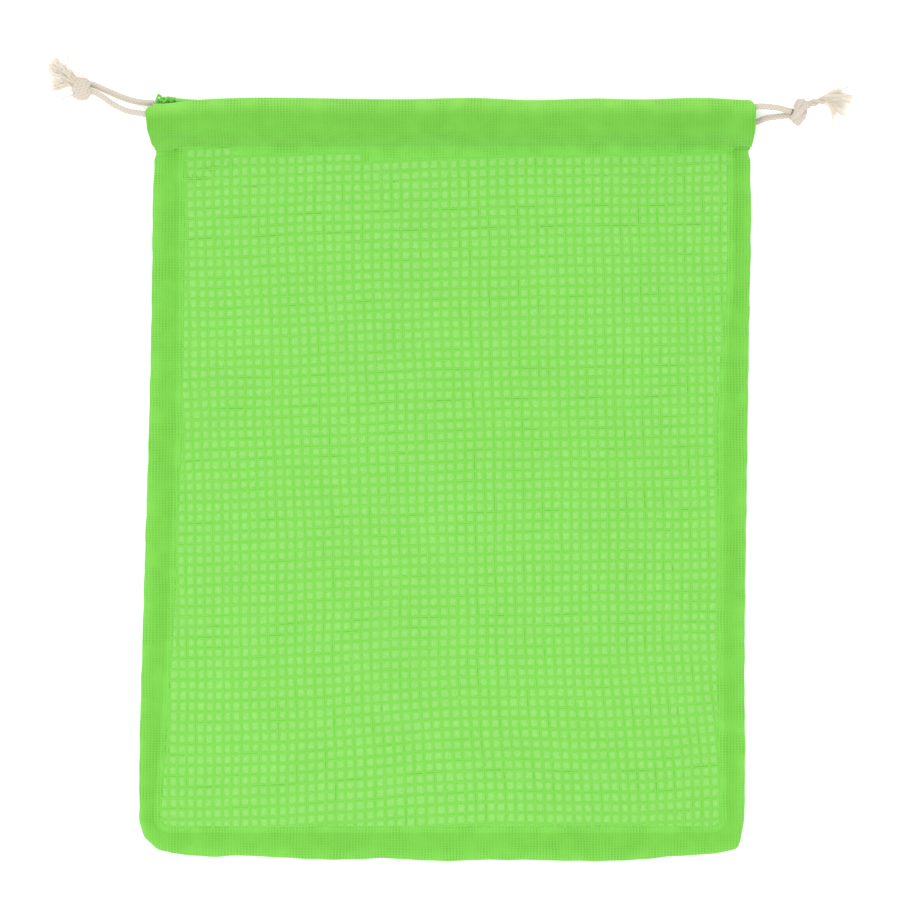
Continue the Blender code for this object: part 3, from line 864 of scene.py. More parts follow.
# Cross-section points: share of the width from the outer edge, metres added to it in mm,
# height in mm, and how far the cloth there looks doubled. The lower numbers near the outer edge
# are partly one layer and partly painted edge light.
BAND_SECTION = (
    (1.00, 0.45, 0.50, 0.0), (1.00, 0.15, 0.86, 0.0), (1.00, -0.40, 1.06, 0.0),
    (1.00, -1.20, 1.13, 0.0), (1.00, -2.00, 1.18, 0.1), (1.00, -2.60, 1.24, 0.6),
    (1.00, -3.10, 1.38, 1.0), (1.00, -3.60, 1.46, 1.0), (0.62, 0.00, 1.54, 1.0),
    (0.50, 0.00, 1.62, 1.0), (0.40, 0.00, 1.70, 0.9), (0.30, 0.00, 1.78, 0.7),
    (0.22, 0.00, 1.80, 0.4), (0.14, 0.00, 1.76, 0.2), (0.00, 1.10, 1.68, 0.1),
    (0.00, 0.62, 1.52, 0.0), (0.00, 0.28, 1.30, 0.0), (0.00, 0.08, 1.02, 0.0),
    (0.00, 0.05, 0.72, 0.0), (0.00, 0.22, 0.44, 0.0), (0.00, 0.60, 0.36, 0.0),
    (0.00, 1.20, 0.36, 0.0), (0.00, 2.20, 0.40, 0.0))


def band_path():
    """Points on the window's edge and the level directions out of it, from top left round."""
    low_y = net_low.y
    turn_y = low_y + INNER_CORNER
    left_turn = float(net_left(turn_y)) + INNER_CORNER
    right_turn = float(net_right(turn_y)) - INNER_CORNER
    places, ways = [], []

    def corner(middle_x, start_angle):
        for angle in np.linspace(start_angle, start_angle + math.pi / 2, CORNER_STEPS):
            way = (math.cos(angle), math.sin(angle))
            places.append((middle_x + INNER_CORNER * way[0], turn_y + INNER_CORNER * way[1]))
            ways.append(way)

    for y in np.arange(panel_high.y + BAND_TUCK, turn_y, -BAND_STEP):
        places.append((float(net_left(y)), y))
        ways.append((-1.0, 0.0))
    corner(left_turn, math.pi)
    for x in np.arange(left_turn + BAND_STEP, right_turn, BAND_STEP):
        places.append((x, low_y))
        ways.append((0.0, -1.0))
    corner(right_turn, 1.5 * math.pi)
    for y in np.arange(turn_y + BAND_STEP, panel_high.y + BAND_TUCK, BAND_STEP):
        places.append((float(net_right(y)), y))
        ways.append((1.0, 0.0))
    return np.array(places), np.array(ways)


def band_widths(places, ways):
    """Distance from the window to the outline of the bag along each way out.

    The outline wobbles a little, and is drawn in just below the hem, where the seam pulls it.
    """
    tree = tree_of(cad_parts["back_panel"])
    widths = []
    for place, way in zip(places, ways):
        level = min(place[1], panel_high.y - BAND_STEP)
        start = Vector((place[0] + way[0] * FAR, level + way[1] * FAR, panel_z))
        hit = tree.ray_cast(start, Vector((-way[0], -way[1], 0.0)))[0]
        widths.append(math.dist((hit.x, hit.y), (place[0], level)))
    run = run_along(places)
    wobble = OUTLINE_WOBBLE * (np.sin(520.0 * run) + np.sin(310.0 * run + 2.0))
    near_hem = ease(NOTCH_START_Y, NOTCH_END_Y, places[:, 1])
    notch = np.where(places[:, 0] < 0, LEFT_NOTCH, RIGHT_NOTCH) * near_hem
    return softened(np.array(widths), OUTLINE_REACH) + wobble - notch


def make_border():
    places, ways = band_path()
    widths = band_widths(places, ways)
    outer = places + ways * widths[:, None]
    grid = np.zeros((len(places), len(BAND_SECTION), 3))
    doubled_not_edge_lit = np.zeros(grid.shape[:2])
    for k, (share, step, height, layers) in enumerate(BAND_SECTION):
        spot = outer - ways * (share * widths + step * MM)[:, None]
        loose = min(max(height - 0.4, 0.0), 1.0)
        grid[:, k, :2] = spot
        under_hem = 1.0 - HEM_PRESS * ease(panel_high.y - MM, panel_high.y + MM, spot[:, 1])
        grid[:, k, 2] = height * MM * under_hem + lift_at(spot[:, 0], spot[:, 1]) * loose
        # Deep green where the cloth is doubled. The lower numbers near the outer edge are partly one
        # layer and partly painted edge light.
        doubled_not_edge_lit[:, k] = layers
    inner = grid + grid_normals(grid) * BAND_THICKNESS
    middle = len(BAND_SECTION) // 2
    if inner[0, middle, 2] > grid[0, middle, 2]:
        inner = 2 * grid - inner
    piece = add_shell("woven_border", grid, inner, layers=[("doubled_not_edge_lit", doubled_not_edge_lit)])
    return place_piece(piece, border_cotton, "lime_cloth",
                       "side_border_left", "side_border_right", "bottom_border")


woven_border = make_border()

# %% [markdown]
# ## The top band
# Between the hem and the first cells the front is woven densely too, but it is a single layer,
# so it is the brightest strip of the bag. It is a flat band tucked under the hem. Its lower
# edge keeps to whole cells of the weave, so every cell is either open or closed.

# %% Top band
BAND_COLUMNS, BAND_ROWS = 420, 14
TOP_BAND_TOP_Y = HEM_Y + 3.6 * MM
TOP_BAND_THICKNESS = 0.25 * MM
TOP_BAND_OVERLAP = 3.0 * MM
# Height in millimetres of its lower edge, and the two steps that take it over the yarns.
TOP_BAND_LEVELS = (0.52, 0.44, 0.24)
TOP_BAND_EDGE = ((-112, 136.4), (-98, 136.2), (-84, 135.2), (-68, 133.8), (-40, 133.4),
                 (0, 133.6), (40, 133.6), (80, 133.9), (104, 134.4), (118, 134.2))


def make_top_band():
    edge = np.array(TOP_BAND_EDGE) * MM
    left = float(net_left(NET_TOP)) - TOP_BAND_OVERLAP
    right = float(net_right(NET_TOP)) + TOP_BAND_OVERLAP
    u, v = np.meshgrid(np.linspace(0, 1, BAND_COLUMNS), np.linspace(0, 1, BAND_ROWS))
    x = mix(left, right, u)
    columns = column_place(np.arange(FIRST_COLUMN, LAST_COLUMN))
    columns = columns + column_drift(columns, NET_TOP)
    cells = (columns[1:] + columns[:-1]) / 2
    level = np.interp(cells, edge[:, 0], edge[:, 1])
    rows = np.round((row_place(0) + row_climb(cells, level) - level) / ROW_PITCH)
    own_cell = np.clip(np.searchsorted(columns, x) - 1, 0, len(cells) - 1)
    y = mix(row_place(rows[own_cell]) + row_climb(x, NET_TOP), TOP_BAND_TOP_Y, v)
    base, step, rise = TOP_BAND_LEVELS
    z = (base + step * ease(0.0, 0.1, v) + rise * ease(0.05, 0.4, v)) * MM + lift_at(x, y)
    top = np.stack([x, y, z], axis=-1)
    bottom = top - np.array([0, 0, TOP_BAND_THICKNESS])
    piece = add_shell("top_band", top, bottom, layers=[("doubled_not_edge_lit", 0.0 * x)])
    return place_piece(piece, border_cotton, "lime_cloth")


top_band = make_top_band()

# %% [markdown]
# ## The hems
# Each hem is the cloth folded over to make a channel for the cords. It is one loop of cloth
# with the hollow inside it, open at both ends. The outline of the loop is read from the CAD
# solid. The inner layer ends short of the sides, where a cord turns from one channel into the
# other, so those cells are left out of the shell. The back hem's left corner is gathered by
# the cord, so its sections stand closer there and fold into small pleats.

# %% Hems
HEM_WALL = 0.45 * MM
HEM_SWELL = (1.15, 0.70, -0.85)
FLAT_STEPS = 26
FOLD_STEPS = 14
PINCH_Y = HEM_Y + 3.6 * MM
LAYER_CUT_X = 102 * MM
CUT_LOW_Y = HEM_Y + 7.7 * MM
CUT_HIGH_Y = HEM_Y + 18.9 * MM
EDGE_THICKNESS = 0.40 * MM
FULL_Y = HEM_Y + 9.3 * MM
FRONT_EDGE = ((-124, 135.7), (-119, 136.0), (-115, 137.6), (-110, 138.7), (-60, 138.6),
              (0, 138.8), (60, 138.7), (110, 138.9), (118, 138.5), (127, 137.8))
CORNER_ROUND = (3.6 * MM, 2.6 * MM)
# Painted highlight on the hem: where the rim colour fades below the fold, how much deep green stays at
# the fold, and how far and how strongly the lower edge is lit.
RIM_START, RIM_END = 0.8 * MM, 8.0 * MM
RIM_UNLIT_SHARE = 0.05
EDGE_REACH = 8.0 * MM
EDGE_LIGHT_SHARE = 0.30
NOTCH_PULL = 1.6 * MM


def end_curve(node, side):
    """Where a hem's mouth lies at each height up the cloth, from the CAD solid's end points."""
    spots = np.array([vertex.co[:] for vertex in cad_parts[node].data.vertices])
    ends = spots[spots[:, 0] * side > (spots[:, 0] * side).max() - 7 * MM]
    ends = ends[np.argsort(ends[:, 1])]
    ys = np.linspace(ends[0, 1], ends[-1, 1], 60)
    xs = softened(np.interp(ys, ends[:, 1], ends[:, 0]), 2)
    return lambda y: np.interp(y, ys, xs)


def hem_faces(node, middle_z):
    """Lower and upper surface heights, fold line and mouths of a hem."""
    lowest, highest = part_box(node)
    ys = np.linspace(lowest.y + 0.05 * MM, highest.y - 4.2 * MM, 90)
    lower = edge_table(node, ys, lambda y: (0.0, y, -FAR), (0, 0, 1), 2, 2)
    upper = edge_table(node, ys, lambda y: (0.0, y, FAR), (0, 0, -1), 2, 2)
    xs = np.linspace(lowest.x + 4.5 * MM, highest.x - 3 * MM, 300)
    fold = edge_table(node, xs, lambda x: (x, FAR, middle_z), (0, -1, 0), 1, 5)
    return lower, upper, fold, end_curve(node, -1), end_curve(node, 1)


def hem_loop(top, lower, upper, low_y, inset):
    """One loop of (y, z) round a hem: its outside, or one wall inside it."""
    radius = (float(upper(top)) - float(lower(top))) / 2
    fold_y = top - radius
    ys = mix(low_y, fold_y, np.linspace(0, 1, FLAT_STEPS) ** 1.2)
    angles = np.linspace(-math.pi / 2, math.pi / 2, FOLD_STEPS + 1)[1:-1]
    middle = (float(upper(top)) + float(lower(top))) / 2
    y = np.concatenate([ys, fold_y + (radius - inset) * np.cos(angles), ys[::-1]])
    z = np.concatenate([lower(ys) + inset, middle + (radius - inset) * np.sin(angles),
                        upper(ys[::-1]) - inset])
    return y, z


def rounding(y, top, radius):
    """How far a hem's corner is drawn in at a height, to round it off below its fold."""
    up = np.clip((y - top + radius) / radius, 0.0, 1.0)
    return radius * (1.0 - np.sqrt(1.0 - 0.92 * up ** 2))


def make_hem(name, node, middle_z, stations, front, shape):
    """Hem shell; stations are shares of its length, and shape moves its finished grids."""
    lower, full_upper, fold, left_end, right_end = hem_faces(node, middle_z)
    edge = np.array(FRONT_EDGE) * MM
    left_x, right_x = (float(end(HEM_Y + 8 * MM)) for end in (left_end, right_end))
    outer_rings, inner_rings, from_fold, from_edge = [], [], [], []
    for u in stations:
        x = mix(left_x, right_x, u)
        top = float(fold(x))
        edge_y = np.interp(x, edge[:, 0], edge[:, 1]) if front else HEM_Y
        thin = float(lower(edge_y)) + EDGE_THICKNESS
        thick = float(full_upper(FULL_Y))

        def upper(y):
            t = np.clip((y - edge_y) / (FULL_Y - edge_y), 0.0, 1.0)
            return mix(thin, thick, sum(share * t ** (k + 1) for k, share in enumerate(HEM_SWELL)))

        for rings, low_y, inset in ((outer_rings, edge_y, 0.0), (inner_rings, PINCH_Y, HEM_WALL)):
            y, z = hem_loop(top, lower, upper, low_y, inset)
            notch = NOTCH_PULL * (1.0 - ease(HEM_Y - MM, HEM_Y + 2.5 * MM, y)) if front else 0.0
            left = left_end(y) + rounding(y, top, CORNER_ROUND[0]) + notch
            right = right_end(y) - rounding(y, top, CORNER_ROUND[1])
            rings.append(np.stack([mix(left, right, u), y, z], axis=-1))
        from_fold.append(top - outer_rings[-1][:, 1])
        from_edge.append(outer_rings[-1][:, 1] - edge_y)
    outer, inner = shape(np.array(outer_rings)), shape(np.array(inner_rings))
    columns = np.arange(outer.shape[1])
    wall = columns < FLAT_STEPS - 1 if front else columns > len(columns) - FLAT_STEPS
    spots = outer[:-1]
    hole = ((np.abs(spots[..., 0]) > LAYER_CUT_X) & (spots[..., 1] > CUT_LOW_Y)
            & (spots[..., 1] < CUT_HIGH_Y) & wall[None, :])
    # Painted highlight: the rounded top fold and the lower edge take the lighter rim colour.
    below_rim = ease(RIM_START, RIM_END, np.array(from_fold))
    near_edge = 1.0 - ease(0.0, EDGE_REACH, np.array(from_edge))
    doubled_not_edge_lit = mix(RIM_UNLIT_SHARE, 1.0, below_rim) - EDGE_LIGHT_SHARE * near_edge
    return add_shell(name, outer, inner, ~hole, wrap=True, layers=[("doubled_not_edge_lit", doubled_not_edge_lit)])


PUCKER_HEIGHT = 0.09 * MM
LONG_PUCKER, SHORT_PUCKER = 9.0 * MM, 5.3 * MM


def creased_top(grid):
    """Creases and puckers of the cloth's upper side."""
    part = grid[:, FLAT_STEPS + FOLD_STEPS // 2 - 1:]
    x, y = part[..., 0], part[..., 1]
    pucker = (np.sin(2 * math.pi * x / LONG_PUCKER + 3 * np.sin(40 * x))
              + 0.6 * np.sin(2 * math.pi * x / SHORT_PUCKER + 1.0))
    near_seam = ease(HEM_Y, HEM_Y + 3 * MM, y) * (1 - ease(HEM_Y + 4 * MM, HEM_Y + 11 * MM, y))
    part[..., 2] += lift_at(x, y) + PUCKER_HEIGHT * pucker * near_seam
    return grid


GATHER_END_X = -111.5 * MM
GATHER_FADE = 2.5 * MM
GATHERED_SHARE = 0.066
PLEAT = 2.3 * MM
PLEAT_DEPTH = 0.45 * MM
LOWEST_PLEAT = 0.05 * MM


def gathered_corner(grid):
    """Small pleats where the cord gathers the corner of the back hem."""
    x = grid[..., 0]
    rows = np.arange(grid.shape[1]) / grid.shape[1]
    zone = (1 - ease(GATHER_END_X - GATHER_FADE, GATHER_END_X, x)) * ease(0.38, 0.50, rows)
    zone = zone * (1 - ease(0.62, 0.85, rows))
    lean = 1.3 * np.sin(7 * rows + 0.4) + 0.8 * np.sin(330.0 * x)
    turn = 2 * math.pi * x / PLEAT + lean
    pleat = 1.0 - 2.0 * np.abs(np.sin(turn / 2)) ** 0.7
    bump = 0.5 * np.sin(turn * 0.43 + 9 * rows)
    grid[..., 1] += zone * PLEAT_DEPTH * (0.75 * pleat + bump)
    grid[..., 2] += zone * PLEAT_DEPTH * 0.7 * np.sin(turn + 1.2 + 5 * rows)
    grid[..., 2] = np.maximum(grid[..., 2], LOWEST_PLEAT)
    return grid


EVEN = np.linspace(0, 1, 330)
GATHERED = np.concatenate([np.linspace(0, GATHERED_SHARE, 90, endpoint=False),
                           np.linspace(GATHERED_SHARE, 1, 290)])
front_middle_z = hem_high.z - back_hem_high.z / 2
front_hem = make_hem("front_hem_fold", "front_hem", front_middle_z, EVEN, True, creased_top)
place_piece(front_hem, hem_cotton, "lime_cloth", "front_hem")
back_hem = make_hem("back_hem_fold", "back_hem", back_hem_high.z / 2, GATHERED, False,
                    gathered_corner)
place_piece(back_hem, hem_cotton, "lime_cloth", "back_hem")

# %% [markdown]
# ## The ruffle
# Where the cord pulls at the corner of the back hem, the cloth's fold stands up in curls. Each
# curl is the rolled edge of a small pleat. They are made as soft rolls of cloth that follow two
# winding lines over the gathered corner, one a little lower than the other.

# %% Ruffle
# Each line: its height above the floor and its places across and up the cloth, in millimetres.
RUFFLE_LINES = (
    (4.9, ((-121.4, 156.0), (-121.2, 157.6), (-120.5, 159.4), (-119.7, 158.9), (-119.0, 157.4),
           (-118.2, 156.5), (-117.5, 157.3), (-116.9, 158.3), (-116.0, 158.2), (-115.6, 157.2),
           (-114.9, 156.8), (-114.4, 157.8), (-113.6, 158.0), (-113.0, 157.0), (-112.0, 156.6))),
    (4.3, ((-120.8, 156.2), (-120.2, 157.6), (-119.6, 157.0), (-118.6, 158.2), (-117.8, 158.0),
           (-116.8, 156.8), (-116.2, 157.4), (-115.2, 158.2), (-114.2, 157.0), (-113.4, 157.6))))
ROLL_HALF_WIDTH, ROLL_HALF_HEIGHT = 0.50 * MM, 0.42 * MM
ROLL_STEP = 0.2 * MM
ROLL_SIDES = 12
ROLL_RISE = 0.35 * MM


def make_ruffle():
    bundles = []
    for level, places in RUFFLE_LINES:
        line = smooth_line([(x * MM, y * MM, level * MM) for x, y in places], ROLL_STEP)
        line[:, 2] += ROLL_RISE * np.sin(900.0 * run_along(line))
        ways = np.gradient(line, axis=0)
        side = np.stack([ways[:, 1], -ways[:, 0], 0 * ways[:, 0]], axis=-1)
        side /= np.linalg.norm(side, axis=1, keepdims=True)
        up = np.tile((0.0, 0.0, 1.0), (len(line), 1))
        bundles.append(tube_rings(line, side, up, ROLL_HALF_WIDTH, ROLL_HALF_HEIGHT, ROLL_SIDES))
    return add_tubes("gathered_ruffle", bundles)


gathered_ruffle = make_ruffle()
place_piece(gathered_ruffle, border_cotton, "lime_cloth")

# %% [markdown]
# ## The stitches
# One row of short stitches closes the channel. They lie half sunk in the cloth. One stitch is
# a stretched ball, and the rest are its copies, each set on the cloth under it by a ray.

# %% Stitches
STITCH_PITCH = 2.6 * MM
STITCH_HALF = (0.80 * MM, 0.16 * MM, 0.08 * MM)
STITCH_ROW_Y = HEM_Y + 5.3 * MM
STITCH_START_X, STITCH_END_X = hem_low.x + 8 * MM, hem_high.x - 6 * MM


def make_stitches():
    cloth = tree_of(front_hem)
    bpy.ops.object.select_all(action="DESELECT")
    bpy.ops.mesh.primitive_uv_sphere_add(segments=6, ring_count=4, radius=1.0)
    one = bpy.context.object
    one.scale = STITCH_HALF
    bpy.ops.object.transform_apply(location=False, rotation=False, scale=True)
    copies = []
    for x in np.arange(STITCH_START_X, STITCH_END_X, STITCH_PITCH):
        height = cloth.ray_cast(Vector((x, STITCH_ROW_Y, FAR)), Vector((0, 0, -1)))[0].z
        copy = one.copy()
        copy.data = one.data.copy()
        copy.location = (x, STITCH_ROW_Y, height)
        bpy.context.scene.collection.objects.link(copy)
        copies.append(copy)
    bpy.data.objects.remove(one)
    for copy in copies:
        copy.select_set(True)
    bpy.context.view_layer.objects.active = copies[0]
    bpy.ops.object.join()
    bpy.ops.object.transform_apply(location=True, rotation=True, scale=True)
    bpy.ops.object.shade_smooth()
    stitches = bpy.context.object
    stitches.name = "hem_stitches"
    stitches.select_set(False)
    return place_piece(stitches, thread_cotton, "lime_cloth")


hem_stitches = make_stitches()

# %% [markdown]
# ## The drawcords
# Each cord is one braided cotton cord. It leaves its knot, runs through the front channel,
# turns at the far side and comes back through the back channel to the same knot. The route is
# the CAD model's own list of points, carried a little further into the knot at both ends. The
# braid is real relief: two sets of ridges wind round the cord in opposite directions, and shade
# is painted into the grooves between them.

# %% Cord routes
BACK_CORD_Z = back_hem_high.z / 2
FRONT_CORD_Z = hem_high.z - back_hem_high.z / 2
LEFT_ROUTE = (
    (-0.1482, 0.1610, 0.0048),
    (-0.1467, 0.1604, 0.0049), (-0.1436, 0.1585, 0.0050), (-0.1385, 0.1550, 0.0056),
    (-0.1330, 0.1526, 0.0062), (-0.1270, 0.1516, FRONT_CORD_Z), (-0.1190, 0.1499, FRONT_CORD_Z),
    (-0.1100, 0.1484, FRONT_CORD_Z), (-0.0700, 0.1478, FRONT_CORD_Z),
    (-0.0200, 0.1471, FRONT_CORD_Z), (0.0300, 0.1477, FRONT_CORD_Z),
    (0.0800, 0.1464, FRONT_CORD_Z), (0.1080, 0.1458, FRONT_CORD_Z),
    (0.1150, 0.1459, FRONT_CORD_Z - 0.0001), (0.1190, 0.1472, FRONT_CORD_Z - 0.0007),
    (0.1208, 0.1502, FRONT_CORD_Z - 0.0022), (0.1190, 0.1531, BACK_CORD_Z + 0.0007),
    (0.1150, 0.1541, BACK_CORD_Z + 0.0001), (0.1080, 0.1541, BACK_CORD_Z),
    (0.0500, 0.1536, BACK_CORD_Z), (-0.0100, 0.1539, BACK_CORD_Z),
    (-0.0700, 0.1537, BACK_CORD_Z), (-0.1060, 0.1541, BACK_CORD_Z),
    (-0.1190, 0.1557, BACK_CORD_Z), (-0.1290, 0.1567, BACK_CORD_Z - 0.0003),
    (-0.1360, 0.1587, 0.0016), (-0.1420, 0.1613, 0.0019), (-0.1472, 0.1636, 0.0025),
    (-0.1488, 0.1640, 0.0030))
RIGHT_ROUTE = (
    (0.1430, 0.1526, 0.0048),
    (0.1411, 0.1530, 0.0049), (0.1380, 0.1539, 0.0053), (0.1335, 0.1545, 0.0061),
    (0.1290, 0.1546, FRONT_CORD_Z), (0.1200, 0.1540, FRONT_CORD_Z),
    (0.0800, 0.1536, FRONT_CORD_Z), (0.0300, 0.1541, FRONT_CORD_Z),
    (-0.0200, 0.1536, FRONT_CORD_Z), (-0.0700, 0.1540, FRONT_CORD_Z),
    (-0.1000, 0.1540, FRONT_CORD_Z), (-0.1050, 0.1538, FRONT_CORD_Z - 0.0002),
    (-0.1086, 0.1526, FRONT_CORD_Z - 0.0008), (-0.1103, 0.1500, FRONT_CORD_Z - 0.0022),
    (-0.1086, 0.1474, BACK_CORD_Z + 0.0008), (-0.1050, 0.1462, BACK_CORD_Z + 0.0002),
    (-0.1000, 0.1460, BACK_CORD_Z), (-0.0400, 0.1466, BACK_CORD_Z),
    (0.0200, 0.1460, BACK_CORD_Z), (0.0800, 0.1466, BACK_CORD_Z),
    (0.1150, 0.1474, BACK_CORD_Z), (0.1270, 0.1480, BACK_CORD_Z),
    (0.1320, 0.1497, 0.0019), (0.1365, 0.1504, 0.0021), (0.1423, 0.1510, 0.0028),
    (0.1440, 0.1511, 0.0032))


def steady_frames(line):
    """Two directions square to a line that don't twist round it."""
    ways = np.gradient(line, axis=0)
    ways /= np.linalg.norm(ways, axis=1, keepdims=True)
    side = np.cross(ways[0], (0.0, 0.0, 1.0))
    if np.linalg.norm(side) < 1e-3:
        side = np.cross(ways[0], (0.0, 1.0, 0.0))
    sides = []
    for way in ways:
        side = side - way * side.dot(way)
        side = side / np.linalg.norm(side)
        sides.append(side)
    sides = np.array(sides)
    return sides, np.cross(ways, sides)


# %% Cord tubes
CORD_DIAMETER = 2.5 * MM
CORD_SIDES = 26
RING_STEP = 0.36 * MM
BRAID_RIDGES = 4
BRAID_PITCH = 6.0 * MM
BRAID_DEPTH = 0.12 * MM


def braided_rings(line, radius, sides=CORD_SIDES, depth=BRAID_DEPTH, pitch=BRAID_PITCH):
    """Rings of a braided cord, and how deep each point lies between its strands, which sets the shade
    painted there.
    """
    side, up = steady_frames(line)
    angles = np.linspace(0.0, 2 * math.pi, sides, endpoint=False)
    turn = 2 * math.pi * run_along(line)[:, None] / pitch
    one = np.abs(np.cos(BRAID_RIDGES / 2 * (angles[None, :] + turn)))
    other = np.abs(np.cos(BRAID_RIDGES / 2 * (angles[None, :] - turn)))
    ridge = np.maximum(one, other)
    size = radius - depth * (1.0 - ridge ** 1.5)
    ring = (side[:, None, :] * np.cos(angles)[None, :, None]
            + up[:, None, :] * np.sin(angles)[None, :, None])
    # Painted shade in the grooves between the strands.
    groove_shade_and_warmth = np.clip(1.35 * (1.0 - ridge) ** 0.8, 0.0, 1.0)
    return line[:, None, :] + ring * size[..., None], groove_shade_and_warmth


def make_cord(name, route, node):
    line = smooth_line(route, RING_STEP)
    rings, groove_shade_and_warmth = braided_rings(line, CORD_DIAMETER / 2)
    piece = add_tubes(name, [rings], [groove_shade_and_warmth])
    place_piece(piece, cord_cotton, "natural_cotton", node)
    print(name, "length", round(run_along(line)[-1], 4))
    return piece, line


left_cord, left_line = make_cord("left_drawcord", LEFT_ROUTE, "drawcord_left")
right_cord, right_line = make_cord("right_drawcord", RIGHT_ROUTE, "drawcord_right")

# %% [markdown]
# ## The knots
# Both ends of a cord are laid together and tied in one knot, which draws up into a barrel of
# close turns. Two strands wind side by side round the knot's axis, smaller at both ends, where
# they dive inside. On the right knot, which has fewer turns, one more strand crosses them.

# %% Knots
STRAND = 1.2 * MM
STRAND_STEP = 0.3 * MM
STRAND_SIDES = 20
STRAND_PITCH = 5.0 * MM
STRAND_STARTS = (0.1, 0.6)
DIVE = 0.35


def coil_line(knot, start_turn, turns):
    """Points of one strand through the barrel, in the knot's own axes."""
    t = np.linspace(0.0, 1.0, 140)
    axial = mix(knot["axial"], -knot["axial"], t)
    angle = 2 * math.pi * (start_turn + turns * t)
    bulge = np.sqrt(np.clip(1.0 - (0.78 * (2 * t - 1)) ** 2, 0.0, 1.0))
    size = bulge * mix(DIVE, 1.0, ease(0.0, 0.12, t) * (1.0 - ease(0.88, 1.0, t)))
    across = mix(knot["across"][0], knot["across"][1], t) * size
    height = knot["height"] * size
    shift = mix(knot["shift"][0], knot["shift"][1], t)
    return np.stack([axial, shift + across * np.cos(angle), height * np.sin(angle)], axis=-1)


def knot_middle(node):
    lowest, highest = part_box(node)
    return np.array((lowest + highest) / 2)


def make_knot(name, node, knot):
    heading = math.radians(knot["heading_deg"])
    axes = np.array([[math.cos(heading), math.sin(heading), 0.0],
                     [-math.sin(heading), math.cos(heading), 0.0], [0.0, 0.0, 1.0]])
    lines = [coil_line(knot, start, knot["turns"]) for start in STRAND_STARTS]
    if "crossing" in knot:
        lines.append(smooth_line(np.array(knot["crossing"]) * MM, STRAND_STEP))
    bundles, shade_and_warmth_values = [], []
    for line in lines:
        placed = smooth_line(line @ axes + knot_middle(node), STRAND_STEP)
        rings, groove_shade_and_warmth = braided_rings(placed, STRAND, STRAND_SIDES, BRAID_DEPTH, STRAND_PITCH)
        bundles.append(rings)
        shade_and_warmth_values.append(groove_shade_and_warmth)
    piece = add_tubes(name, bundles, shade_and_warmth_values)
    return place_piece(piece, cord_cotton, "natural_cotton", node)


# heading_deg is the way of a knot's axis; axial, across and height are its half sizes, shift
# moves its turns sideways from one end to the other, and crossing is in millimetres.
LEFT_KNOT = {"heading_deg": -12, "axial": 3.4 * MM, "across": (3.5 * MM, 3.9 * MM),
             "height": 2.9 * MM, "shift": (0.0, 0.0), "turns": 2.4}
RIGHT_KNOT = {"heading_deg": -20, "axial": 2.3 * MM, "across": (4.9 * MM, 4.2 * MM),
              "height": 2.7 * MM, "shift": (-0.7 * MM, 0.7 * MM), "turns": 1.6,
              "crossing": ((-2.2, -3.6, 0.6), (-1.4, -3.0, 2.6), (-0.4, -1.2, 3.7),
                           (0.8, 1.2, 3.7), (1.8, 3.0, 2.4), (2.6, 3.6, 0.6))}
left_knot = make_knot("left_knot", "knot_left", LEFT_KNOT)
right_knot = make_knot("right_knot", "knot_right", RIGHT_KNOT)

# %% [markdown]
# ## The frayed ends
# Past each knot the cord has come apart into its yarns. Hair particles would be lost in the
# export, so every fibre is a thin tube. Fibres are grown in locks: each lock follows a bent
# line and has a width at its root and at its tip. Inside a lock a few fibres at a time stay
# together in a clump, wander on the way and end at about the same length.

# %% Frayed ends
FIBRE_SIDES = 3
FIBRE_POINTS = 12
CLUMP = 6
FLOOR_GAP = 0.1 * MM
TIP_TAPER = 0.45


def grow_lock(rng, middle, lock):
    """Fibres of one lock and their warmth of colour; places in mm from the knot's middle."""
    root, bend, tip = (np.array(place, float) for place in lock[:3])
    wide, tip_wide, count, thick, curl, warm = lock[3:]
    bundles, shade_and_warmth_values = [], []
    for number in range(count):
        if number % CLUMP == 0:
            clump_turn, clump_near = rng.uniform(0, 2 * math.pi), math.sqrt(rng.random())
            clump_end, clump_cycles = rng.uniform(0.65, 1.0), rng.uniform(2, 5)
            clump_phase = rng.uniform(0, 2 * math.pi)
        t = np.linspace(0.0, clump_end * rng.uniform(0.85, 1.1), FIBRE_POINTS)[:, None]
        line = root * (1 - t) ** 2 + 2 * bend * t * (1 - t) + tip * t ** 2
        way = np.gradient(line, axis=0)
        way /= np.linalg.norm(way, axis=1, keepdims=True)
        side = np.stack([-way[:, 1], way[:, 0], 0 * way[:, 0]], axis=-1)
        side /= np.linalg.norm(side, axis=1, keepdims=True)
        up = np.cross(way, side)
        turn = clump_turn + rng.uniform(-0.30, 0.30) + rng.uniform(-0.4, 0.4) * t
        near = clump_near * rng.uniform(0.85, 1.1)
        spread = near * mix(wide, tip_wide * rng.uniform(0.9, 1.1), t)
        own = 0.3 * np.sin(rng.uniform(0, 2 * math.pi) + rng.uniform(4, 9) * t)
        wiggle = curl * t * (np.sin(clump_phase + clump_cycles * t) + own)
        line = line + side * (spread * np.cos(turn) + wiggle) + up * spread * 0.6 * np.sin(turn)
        line = line * MM + np.array(middle)
        radius = rng.uniform(0.7, 1.3) * thick * MM
        line[:, 2] = np.maximum(line[:, 2], radius + FLOOR_GAP)
        taper = np.linspace(1.0, TIP_TAPER, FIBRE_POINTS)[:, None, None]
        rings = tube_rings(line, *steady_frames(line), radius, radius, FIBRE_SIDES)
        bundles.append(line[:, None, :] + (rings - line[:, None, :]) * taper)
        shade_and_warmth_values.append(np.full(rings.shape[:2], warm * rng.uniform(0.3, 1.0)))
    return bundles, shade_and_warmth_values


